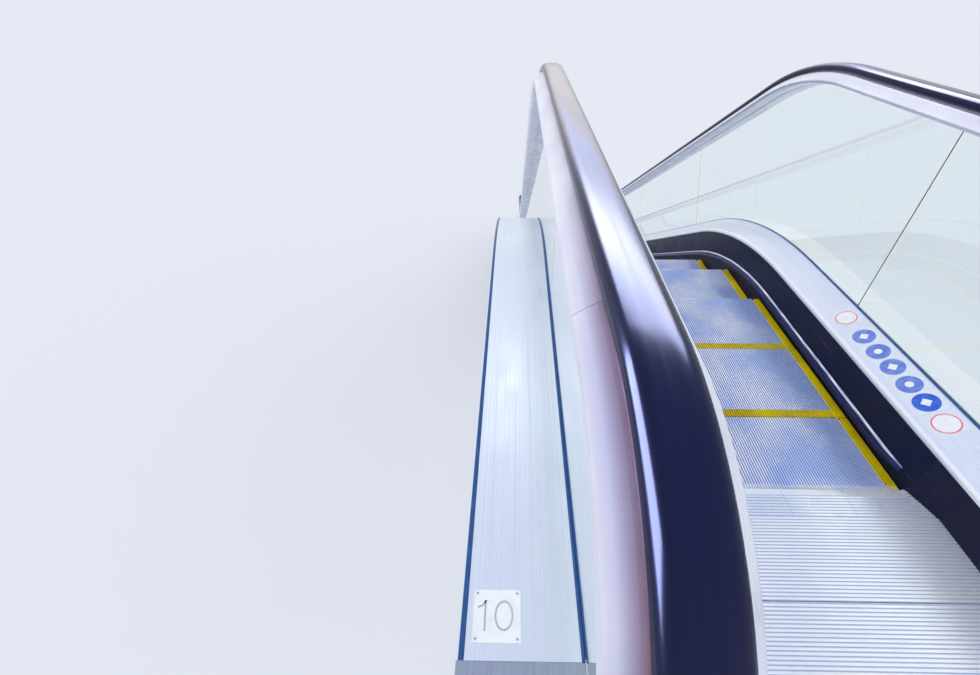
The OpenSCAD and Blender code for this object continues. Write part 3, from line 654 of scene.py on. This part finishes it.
combSizes = {
    "segments": 5,
    "depth": 0.097,
    "seam": 0.0005,
    "lip": 0.024,
    "rootRise": 0.005,
    "toothReach": 0.027,
    "toothWidth": 0.0032,
    "tip": (0.005, 0.006, 0.007),  # depth below the treads of a tooth's top, point and underside
    "floorHeight": 0.014,
    "plate": 0.012,
    "ribPitch": 0.01,
    "ribHeight": 0.0015,
    "ribLand": 0.66,
    "ribDraft": 0.0004,
    "span": 0.99,
}


def ribbedOutline(back, front):  # ribs across the travel, seen from the side
    pitch, land, draft = combSizes["ribPitch"], combSizes["ribLand"], combSizes["ribDraft"]
    top, base = combSizes["floorHeight"], combSizes["floorHeight"] - combSizes["plate"]
    valley = top - combSizes["ribHeight"]
    outline, slots = [(back, base), (back, valley)], [1, 1]
    for i in range(math.floor((front - back) / pitch + 1e-6)):
        start = back + (i + (1 - land) / 2) * pitch
        end = start + land * pitch
        outline += [(start - draft, valley), (start, top), (end, top), (end + draft, valley)]
        slots += [1, 0, 1, 1]
    return outline + [(front, valley), (front, base)], slots + [1, 1]


def makeCombs():
    grooves, segments = round(combSizes["span"] / stepSizes["cleatPitch"]), combSizes["segments"]
    top, base = combSizes["floorHeight"], combSizes["floorHeight"] - combSizes["plate"]
    lip, seam, reach = combSizes["lip"], combSizes["seam"], combSizes["toothReach"]
    root = base + combSizes["rootRise"]
    outline, slots = ribbedOutline(-combSizes["depth"], -lip)
    nose = [(-lip, base), (-lip, top - combSizes["ribHeight"]), (-0.008, root + 0.0025), (0, root), (0, base)]
    parts = []
    for i in range(segments):
        first, past = round(grooves * i / segments), round(grooves * (i + 1) / segments)
        low = (first - grooves / 2) * stepSizes["cleatPitch"] + seam
        high = (past - grooves / 2) * stepSizes["cleatPitch"] - seam
        parts += [prismPart(outline, low, high, slots), prismPart(nose, low, high)]
    tipTop, point, under = (-depth for depth in combSizes["tip"])
    tooth = [(-0.002, base + 0.001), (-0.002, root - 0.0005), (0, root), (reach, tipTop),
             (reach + 0.001, point), (reach, under), (0.01, under), (0, base)]
    half = combSizes["toothWidth"] / 2
    for g in range(grooves):
        x = (g + 0.5 - grooves / 2) * stepSizes["cleatPitch"]
        parts.append(prismPart(tooth, x - half, x + half))
    toothed = [finish["comb"], finish["floorGroove"]]
    makePair(upperAndLower, "CombSegments", parts, toothed, "comb")


makeCombs()
print("combs made")


# Floor plates

floorSizes = {
    "combPlate": 0.243,
    "inner": 0.296,
    "outer": 0.8,
    "half": 0.5397,
    "trussHalf": 0.751,
    "skirtHalf": 0.5023,
    "flare": 0.107,
    "joint": 0.001,
    "combHalf": 0.495,
}


def flaredPart(back, front, near=None):
    # Ribs whose ends follow the flare, narrow at the comb and wide behind it: from near out, or side to side
    outline, slots = ribbedOutline(back, front)
    points, faces, faceSlots, metres = prismPart(outline, 0, 1, slots)
    ends = []
    for x, y, z in points:
        share = min(1, max(0, -y / floorSizes["flare"]))
        edge = floorSizes["skirtHalf"] + (floorSizes["half"] - floorSizes["skirtHalf"]) * share
        ends.append((edge if x else -edge if near is None else near, y, z))
    return ends, faces, faceSlots, metres


def makeFloors():
    joint, comb, outer = floorSizes["joint"], combSizes["depth"], floorSizes["outer"] / 2
    combBack = comb + floorSizes["combPlate"]
    newelEnd = combBack + floorSizes["inner"]
    parts = bothSides([flaredPart(joint - comb, 0, floorSizes["combHalf"] + joint / 2)])
    parts.append(flaredPart(joint - combBack, -comb))
    spans = [(combBack, newelEnd, floorSizes["half"])]
    spans += [(newelEnd + k * outer, newelEnd + (k + 1) * outer, floorSizes["trussHalf"]) for k in (0, 1)]
    for near, far, half in spans:
        outline, slots = ribbedOutline(joint - far, -near - joint)
        parts.append(prismPart(outline, -half, half, slots))
    ribbed = [finish["floor"], finish["floorGroove"]]
    makePair(upperAndLower, "FloorRibs", parts, ribbed, "floor_plates")


makeFloors()
print("floor plates made")


# Decks, skirts and seals

deckSizes = {
    "skirtX": 0.5026,
    "noseHeight": 0.204,
    "noseRadius": 0.017,
    "deckHeight": 0.268,
    "sheet": 0.003,
    "clampHalf": 0.012,
    "handrailX": 0.619,
    "leftCover": 0.25,
    "rightCover": 0.128,
    "coverLip": 0.034,
    "glassHalf": 0.006,
    "sealRise": 0.003,
    "innerJoints": (2.06, 2.4),  # y of the first joint and the distance to the next
    "outerJoints": (0.69, 2.4),
    "coverJoints": (0.962, 2.4),
}


def makeDecks():
    skirtX, nose, high = deckSizes["skirtX"], deckSizes["noseHeight"], deckSizes["deckHeight"]
    middle, half, clampHalf = deckSizes["handrailX"], deckSizes["glassHalf"], deckSizes["clampHalf"]
    inner, outer = middle - clampHalf, middle + clampHalf
    sheet, lip, rise = deckSizes["sheet"], deckSizes["coverLip"], deckSizes["sealRise"]
    stations = routeStations(stepRoute, -travel["decksBack"], lowCombY + travel["decksBack"])

    def inSheets(section, joints, slots=0):
        return [sweepPart(section, run, slots) for run in inLengths(stations, jointsFrom(*deckSizes[joints]))]

    def coverParts(width, joints):
        edge = outer + width
        return inSheets(rounded([
            (outer, high, 0), (edge, high, 0.004), (edge, high - lip, 0), (edge - sheet, high - lip, 0),
            (edge - sheet, high - sheet, 0.001), (outer, high - sheet, 0)]), joints)

    noseArc = 6
    section = rounded([
        (skirtX - 0.003, nose - 0.016, 0), (skirtX - 0.004, nose - 0.0012, deckSizes["noseRadius"]),
        (inner, high, 0), (inner, high - 0.005, 0), (skirtX + 0.008, nose - 0.002, 0.002),
        (skirtX + 0.003, nose - 0.006, 0), (skirtX + 0.003, nose - 0.016, 0)], noseArc)
    # the nose's arc takes the painted highlight material
    slots = [1 if 1 <= k <= noseArc else 0 for k in range(len(section))]
    innerDeck, sheets = inSheets(section, "innerJoints", slots), [finish["deck"], finish["deckNoseHighlight"]]
    makePair(rightAndLeft, "InnerDeckSheet", innerDeck, sheets, "inner_deck")
    outerDeck = coverParts(deckSizes["rightCover"], "outerJoints")
    makePiece("rightOuterDeckSheet", outerDeck, [finish["outerDeck"]], ["right_outer_deck"])
    cover = [mirroredPart(p) for p in coverParts(deckSizes["leftCover"], "coverJoints")]
    makePiece("sharedCoverSheet", cover, [finish["cover"]], ["centre_cover"])

    near, far, foot, top = half + 0.0003, clampHalf + 0.0005, high + 0.0001, high + rise
    bead = rounded([(middle + near, foot, 0), (middle + near, top + 0.001, 0.001),
                    (middle + far, top - 0.001, 0.002), (middle + far, foot, 0)], 3)
    edge, crown = outer + deckSizes["leftCover"], high + 0.0022
    bed = rounded([(edge - 0.016, foot, 0), (edge - 0.015, crown, 0.002),
                   (edge - 0.005, crown, 0.002), (edge - 0.004, foot, 0)], 3)
    outside = sweepPart(bead, stations)
    inside = sweepPart([(2 * middle - x, h) for x, h in reversed(bead)], stations)
    parts = [sweepPart(bead, stations, 1), inside]
    parts += [mirroredPart(p) for p in (outside, inside, sweepPart(bed, stations))]
    makePiece("glassSeals", parts, [finish["seal"], finish["paleSeal"]])


makeDecks()
print("decks made")


# Handrails and their profiles

railSizes = {
    "width": 0.08,
    "height": 0.03,
    "lip": 0.008,
    "squareness": 3.1,
    "profileHalf": 0.077,
    "profileInner": 0.073,
    "profileDepth": 0.048,
    "slotHalf": 0.0063,
    "slotDepth": 0.01,
    "profileTurn": 151,
    "railTurn": 163,
    "profileJoints": (-0.35, 2.9),
}


def handrailSection():  # a flat crowned back with round shoulders and turned in lips
    half, lip, crown = railSizes["width"] / 2, railSizes["lip"], railSizes["height"] - railSizes["lip"]
    power = 2 / railSizes["squareness"]
    shell = []
    for k in range(29):
        turn = math.pi * k / 28
        across = math.copysign(abs(math.cos(turn)) ** power, math.cos(turn))
        shell.append((half * across, lip + crown * abs(math.sin(turn)) ** power))
    lips = [(-half + 0.001, 0.004), (-half + 0.003, 0.0012), (-half + 0.006, 0), (half - 0.006, 0),
            (half - 0.003, 0.0012), (half - 0.001, 0.004)]
    return [(deckSizes["handrailX"] + x, h) for x, h in shell + lips]


def profileSection():
    rim, depth = railSizes["width"] / 2, railSizes["profileDepth"]
    slot, slotTop = railSizes["slotHalf"], -depth + railSizes["slotDepth"]

    def side(half):
        return [
            (rim - 0.008, 0, 0), (rim - 0.004, -0.004, 0.002), (rim + 0.004, -0.006, 0.003),
            (half - 0.003, -0.027, 0.012), (half, -0.036, 0.007), (half - 0.008, -depth + 0.001, 0.007),
            (half - 0.022, -depth, 0.008), (slot, -depth, 0), (slot, slotTop, 0)]

    innerSide = [(-x, h, r) for x, h, r in reversed(side(railSizes["profileInner"]))]
    corners = side(railSizes["profileHalf"]) + innerSide
    return [(deckSizes["handrailX"] + x, h) for x, h in rounded(corners, 5)]


def makeHandrails():
    def railWay(turn, steps):
        ends = -travel["newelBack"], lowCombY + travel["newelBack"]
        return routeStations(railRoute, *ends, math.radians(turn), steps)

    runs = inLengths(railWay(railSizes["profileTurn"], 20), jointsFrom(*railSizes["profileJoints"]))
    profile = [sweepPart(profileSection(), run) for run in runs]
    rail = sweepPart(handrailSection(), railWay(railSizes["railTurn"], 24))
    for side, turned in rightAndLeft:
        makePiece(side + "RailProfile", [turned(p) for p in profile], [finish["profile"]],
                  [f"{side}_handrail_profile"])
        makePiece(side + "RailCover", [turned(rail)], [finish["handrail"]],
                  [f"{side}_handrail"], 50)


makeHandrails()
print("handrails made")


# Skirt deflectors

deflectorSizes = {
    "start": 0.05,   # from the combs
    "taper": 0.11,
    "leastReach": 0.03,
    "top": 0.062,
    "bottom": 0.044,
    "crestReach": 0.008,
    "holderReach": 0.0165,
    "holderFoot": 0.037,
    "bristleReach": 0.0198,
    "bristleTip": 0.0312,
    "bristlePitch": 0.005,   # nylon hairs of 0.3 mm drawn as tufts, so that they show
    "bristleWidth": 0.0034,
}


def makeDeflectors():
    wall, reach = deckSizes["skirtX"], deflectorSizes["holderReach"]
    top, bottom, start = deflectorSizes["top"], deflectorSizes["bottom"], deflectorSizes["start"]
    end, taper = lowCombY - start, deflectorSizes["taper"]
    steps = 8
    lead = [(start + taper * k / steps, 0, 0) for k in range(steps)]
    way = lead + routeStations(stepRoute, start + taper, end - taper)
    way += [(lowCombY - y, -travel["rise"], 0) for y, _, _ in reversed(lead)]

    def outAt(y):  # share of the full reach at y
        fromEnd = min(1, (y - start) / taper, (end - y) / taper)
        return math.sin(math.pi / 2 * max(deflectorSizes["leastReach"], fromEnd))

    def narrowed(section, i):
        share = outAt(way[i][0])
        return [(wall - (wall - x) * share, h) for x, h in section]

    crest, foot = deflectorSizes["crestReach"], deflectorSizes["holderFoot"]
    holder = [
        (wall, bottom), (wall, top), (wall - 0.003, top), (wall - crest, top - 0.004),
        (wall - crest - 0.001, top - 0.0055), (wall - reach, foot + 0.0015), (wall - reach, foot),
        (wall - reach + 0.0025, foot), (wall - 0.006, bottom + 0.002)]
    parts = [sweepPart(holder, way, [0, 0, 1, 1, 0, 0, 0, 0, 0], narrowed)]
    pitch, half = deflectorSizes["bristlePitch"], deflectorSizes["bristleWidth"] / 2
    for k in range(int((end - start - 2 * half) / pitch)):
        y = start + half + (k + 0.5) * pitch
        z, turn = routeAt(stepRoute, y)
        share = outAt(y)
        far = wall - (deflectorSizes["bristleReach"] + 0.0006 * math.sin(k * 2.3)) * share
        near = wall - (reach - 0.0015) * share
        low = deflectorSizes["bristleTip"] + 0.0008 * math.sin(k * 1.7)
        tuft = [(near - 0.0006, foot + 0.001), (near + 0.0008, foot + 0.001),
                (far + 0.0012, low - 0.0006), (far, low)]
        dy, dz = half * math.cos(turn), half * math.sin(turn)
        parts.append(sweepPart(tuft, [(y - dy, z + dz, turn), (y + dy, z - dz, turn)], 2))
    materials = [finish["holder"], finish["crest"], finish["bristle"]]
    makePair(rightAndLeft, "Deflector", parts, materials, "skirt_brush")


makeDeflectors()
print("deflectors made")


# Round stickers on the right inner deck, and the number plate

stickerSizes = {
    "middle": 0.561,
    "radius": 0.036,
    "film": 0.0002,
    "rings": (0.627, 0.086),
    "discs": (0.5085, 0.422, 0.34, 0.254, 0.173),
    "fadedDiscs": 4,
    "backing": (0.043, 0.03999, 0.006),  # half width, half length and corner radius
    "ringInside": 0.9,  # this and the next two are shares of the radius
    "dot": 0.34,
    "diamond": 0.46,
}
plateSizes = {
    "place": (-0.852, -0.522),  # its corner, from the middle and the upper comb
    "size": 0.1,
    "thickness": 0.0015,
    "screwIn": 0.007,
    "screwRadius": 0.0024,
    "screwHeight": 0.0008,
    "digitHeight": 0.058,
    "stroke": 0.004,
    "ink": 0.00015,
    "oneX": 0.025,
    "flag": ((0.009, 0.76), (0.018, 0.82)),  # x, and share of the digit's height
    "zeroX": 0.065,
    "zeroHalf": 0.018,
}


def flatPart(outline, base, thickness, slot, place, across, up):  # an outline laid on the plane at place
    across, up = Vector(across), Vector(up)
    out = across.cross(up)
    flat = [Vector(place) + across * x + up * y for x, y in outline]
    points = [tuple(p + out * height) for height in (base, base + thickness) for p in flat]
    count = len(outline)
    faces = [(k, (k + 1) % count, count + (k + 1) % count, count + k) for k in range(count)]
    faces += [tuple(reversed(range(count))), tuple(range(count, 2 * count))]
    return points, faces, [slot] * len(faces), [(x, y, 0) for _ in (0, 1) for x, y in outline]


def ribbonParts(line, width, lay):  # a flat stroke of even width along a line of points
    left, right = [], []
    for i, here in enumerate(line):
        before, after = Vector(line[max(0, i - 1)]), Vector(line[min(len(line) - 1, i + 1)])
        side = (after - before).normalized().orthogonal() * width / 2
        left.append(tuple(Vector(here) + side))
        right.append(tuple(Vector(here) - side))
    return [lay([left[i + 1], left[i], right[i], right[i + 1]]) for i in range(len(line) - 1)]


def makeStickers():
    low = (deckSizes["skirtX"] + 0.003, deckSizes["noseHeight"] + 0.003)
    high = (deckSizes["handrailX"] - deckSizes["clampHalf"], deckSizes["deckHeight"])
    tilt = math.atan2(high[1] - low[1], high[0] - low[0])
    x, film, radius = stickerSizes["middle"], stickerSizes["film"], stickerSizes["radius"]
    height = low[1] + (x - low[0]) * math.tan(tilt)
    across, up = (math.cos(tilt), 0, math.sin(tilt)), (0, 1, 0)
    wide, tall, corner = stickerSizes["backing"]
    square = rounded([(wide, tall, corner), (wide, -tall, corner), (-wide, -tall, corner),
                      (-wide, tall, corner)])[::-1]
    inside = roundOutline(radius * stickerSizes["ringInside"])
    dot = roundOutline(radius * stickerSizes["dot"])
    diamond = roundOutline(radius * stickerSizes["diamond"], 4)
    stickers = [(y, 1, inside) for y in stickerSizes["rings"]]
    for i, y in enumerate(stickerSizes["discs"]):
        stickers.append((y, 3 if i < stickerSizes["fadedDiscs"] else 2, dot if i % 2 else diamond))
    parts = []
    for y, ink, sign in stickers:
        for layer, (outline, slot) in enumerate(((square, 4), (roundOutline(radius), ink), (sign, 0))):
            parts.append(flatPart(outline, layer * film, film, slot, (x, y, height), across, up))
    materials = [finish[k] for k in ("paleFilm", "redFilm", "blueFilm", "fadedFilm", "backing")]
    makePiece("deckStickers", parts, materials)


def makeNumberPlate():
    size, thickness, inset = plateSizes["size"], plateSizes["thickness"], plateSizes["screwIn"]
    (x, y), z = plateSizes["place"], deckSizes["deckHeight"]
    plane = (x, y, z), (1, 0, 0), (0, 1, 0)
    sheet = rounded([(size, size, 0.002), (size, 0, 0.002), (0, 0, 0.002), (0, size, 0.002)])[::-1]
    parts = [flatPart(sheet, 0, thickness, 0, *plane)]
    for sx in (inset, size - inset):
        for sy in (inset, size - inset):
            head = [(sx + a, sy + b) for a, b in roundOutline(plateSizes["screwRadius"], 16)]
            parts.append(flatPart(head, thickness, plateSizes["screwHeight"], 1, *plane))
    tall, stroke, oneX = plateSizes["digitHeight"], plateSizes["stroke"], plateSizes["oneX"]
    foot = (size - tall) / 2

    def lay(outline):
        return flatPart(outline, thickness, plateSizes["ink"], 2, *plane)

    one = [(oneX, foot), (oneX, foot + tall)]
    flag = [(flagX, foot + tall * share) for flagX, share in plateSizes["flag"]]
    flag.append((oneX + stroke / 2, foot + tall))
    middle, wide, high = plateSizes["zeroX"], plateSizes["zeroHalf"], (tall - stroke) / 2
    turns = [2 * math.pi * k / 32 for k in range(33)]
    zero = [(middle + wide * math.cos(t), size / 2 + high * math.sin(t)) for t in turns]
    for line in (one, flag, zero):
        parts += ribbonParts(line, stroke, lay)
    materials = [finish["paleFilm"], finish["front"], finish["digitFilm"]]
    makePiece("numberPlateFace", parts, materials, ["number_plate"])


makeStickers()
makeNumberPlate()
print("stickers and number plate made")


# Frame parts that keep their shape

dressing = {
    "truss": ["truss_left", "truss_right", "truss_cross_beams", "landing_frames", "track_brackets",
              "upper_support_angle", "lower_support_angle", "clamp_brackets"],
    "track": ["step_tracks"],
    "cladding": ["left_cladding", "right_cladding"],
    "soffit": ["soffit_panels"],
    "front": ["upper_newel_fronts", "lower_newel_fronts"],
    "skirt": ["left_skirt", "right_skirt", "upper_newel_skirts", "lower_newel_skirts"],
    "seal": ["left_glass_clamp", "right_glass_clamp"],
    "glass": ["left_glass", "right_glass"],
    "moulding": ["handrail_inlets"],
}
for key, nodeNames in dressing.items():
    for nodeName in nodeNames:
        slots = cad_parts[nodeName].material_slots
        for entry in slots:
            entry.material = finish[key]
        if not slots:
            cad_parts[nodeName].data.materials.append(finish[key])
print("frame parts dressed")


# Camera, lamps and floor

viewpoint = {
    "place": (-0.7693, 0.6712, 1.3954),
    "down": 39.48,
    "turn": 1.06,
    "roll": -0.238,
    "focalPixels": 445.65,
    "photoSize": (980, 675),
    "centreX": 508.14,
}


def makeCamera():
    data = bpy.data.cameras.new("photoCamera")
    width = viewpoint["photoSize"][0]
    data.lens = viewpoint["focalPixels"] / width * data.sensor_width
    data.shift_x = (width / 2 - viewpoint["centreX"]) / width
    data.clip_start, data.clip_end = 0.02, 200
    camera = bpy.data.objects.new("photoCamera", data)
    turns = ((viewpoint["turn"], "Z"), (90 - viewpoint["down"], "X"), (viewpoint["roll"], "Z"))
    place = Matrix.Translation(viewpoint["place"])
    for degrees, axis in turns:
        place = place @ Matrix.Rotation(math.radians(degrees), 4, axis)
    camera.matrix_world = place
    bpy.context.scene.collection.objects.link(camera)
    bpy.context.scene.camera = camera


studio = {
    "floorColor": "#dfe2e8",
    "floorSize": 600,
    "floorGap": 0.001,
    "skyColor": "#f2f5fb",
    "skyStrength": 0.8,
    "backdrop": "#f7f8fb",
    "shineHorizon": ("#ffffff", 1.0),  # what gloss and metal mirror level with them, and straight up
    "shineAbove": ("#e3e8ff", 0.95),
    "suns": [  # name, direction it comes from, strength, angle of the soft source
        ("keySun", (-0.5, 0.25, 1.0), 1.0, 25),
        ("fillSun", (0.8, -0.5, 0.6), 0.4, 40),
    ],
    "mirrors": {"rails": ["rightRailCover", "leftRailCover"], "cover": ["sharedCoverSheet"]},
    "panels": [  # softboxes: name, the only pieces that mirror it, colour, place, size, what it faces, power
        ("panelHigh", "rails", "#c3ceff", (1.0, 5.75, 4.7), (5.0, 1.2), (-0.6, 1.1, 1.1), 560),
        ("panelUpper", "rails", "#f3f5ff", (0.69, 6.26, 3.87), (4.5, 0.8), (-0.6, 1.1, 1.1), 230),
        ("panelMiddle", "rails", "#bccaff", (0.39, 6.7, 2.95), (4.5, 1.0), (-0.6, 1.3, 1.1), 60),
        ("panelLevel", "rails", "#fff0dc", (-0.1, 7.0, 2.1), (4.5, 1.0), (-0.6, 2.0, 1.1), 18),
        ("panelLeft", "rails", "#b4bfff", (-3.4, 1.3, 2.5), (4.5, 2.8), (-0.62, 1.3, 1.1), 2800),
        ("coverShine", "cover", "#ffffff", (-0.75, 5.0, 3.85), (3.0, 0.4), (-0.75, 1.5, 0.35), 7),
    ],
}


def makeWorld():
    world = bpy.data.worlds.new("paleStudio")
    bpy.context.scene.world = world
    world.use_nodes = True
    tree = world.node_tree
    sky = tree.nodes["Background"]
    sky.inputs["Color"].default_value = linearColor(studio["skyColor"])
    sky.inputs["Strength"].default_value = studio["skyStrength"]
    rays = addNode(tree, "LightPath", {}, {}).outputs
    direction = addNode(tree, "TexCoord", {}, {}).outputs["Generated"]
    height = between(tree, onAxis(tree, direction, "Z"), 0.12, 0.85)
    (low, lowStrength), (high, highStrength) = studio["shineHorizon"], studio["shineAbove"]
    shine = addNode(tree, "Background", {}, {
        "Color": mixColors(tree, height, low, high),
        "Strength": between(tree, height, 0, 1, lowStrength, highStrength)})
    mirrored = addNode(tree, "MixShader", {}, {
        0: rays["Is Glossy Ray"], 1: sky.outputs[0], 2: shine.outputs[0]})
    backdrop = linearColor(studio["backdrop"])
    seen = addNode(tree, "Background", {"Color": backdrop, "Strength": 1.0}, {})
    straight = combined(tree, "MAXIMUM", rays["Is Camera Ray"], rays["Is Transmission Ray"])
    mixed = addNode(tree, "MixShader", {}, {0: straight, 1: mirrored.outputs[0], 2: seen.outputs[0]})
    tree.links.new(mixed.outputs[0], tree.nodes["World Output"].inputs["Surface"])


def makeLamp(name, data, fromTarget):  # its light comes along fromTarget
    lamp = bpy.data.objects.new(name, data)
    lamp.rotation_euler = Vector(fromTarget).to_track_quat("Z", "Y").to_euler()
    bpy.context.scene.collection.objects.link(lamp)
    return lamp


def makeStudio():
    for name, origin, strength, angle in studio["suns"]:
        data = bpy.data.lights.new(name, "SUN")
        data.energy, data.angle = strength, math.radians(angle)
        makeLamp(name, data, origin).visible_glossy = False
    mirrors = {}
    for kind, pieceNames in studio["mirrors"].items():
        mirrors[kind] = bpy.data.collections.new(kind + "Mirrors")
        for pieceName in pieceNames:
            mirrors[kind].objects.link(bpy.data.objects[pieceName])
    for name, kind, colour, place, size, target, power in studio["panels"]:
        data = bpy.data.lights.new(name, "AREA")
        data.color = linearColor(colour)[:3]
        data.shape, data.size, data.size_y, data.energy = "RECTANGLE", size[0], size[1], power
        lamp = makeLamp(name, data, Vector(place) - Vector(target))
        lamp.location = place
        lamp.visible_camera = lamp.visible_transmission = lamp.visible_diffuse = False
        lamp.light_linking.receiver_collection = mirrors[kind]
    half, middle = studio["floorSize"] / 2, (cadLow + cadHigh) / 2
    low, turns = cadLow.z - studio["floorGap"], ((-1, -1), (1, -1), (1, 1), (-1, 1))
    corners = [(middle.x + sx * half, middle.y + sy * half, low) for sx, sy in turns]
    mesh = bpy.data.meshes.new("studioFloor")
    mesh.from_pydata(corners, [], [(0, 1, 2, 3)])
    material, _ = newMaterial("paleStudioFloor", {"Base Color": studio["floorColor"], "Roughness": 0.8})
    mesh.materials.append(material)
    floor = bpy.data.objects.new("studioFloor", mesh)
    bpy.context.scene.collection.objects.link(floor)
    bpy.context.scene.view_settings.view_transform = "Standard"


makeCamera()
makeWorld()
makeStudio()
print("camera, lamps and floor made")

print("cad box", cadLow[:], cadHigh[:])
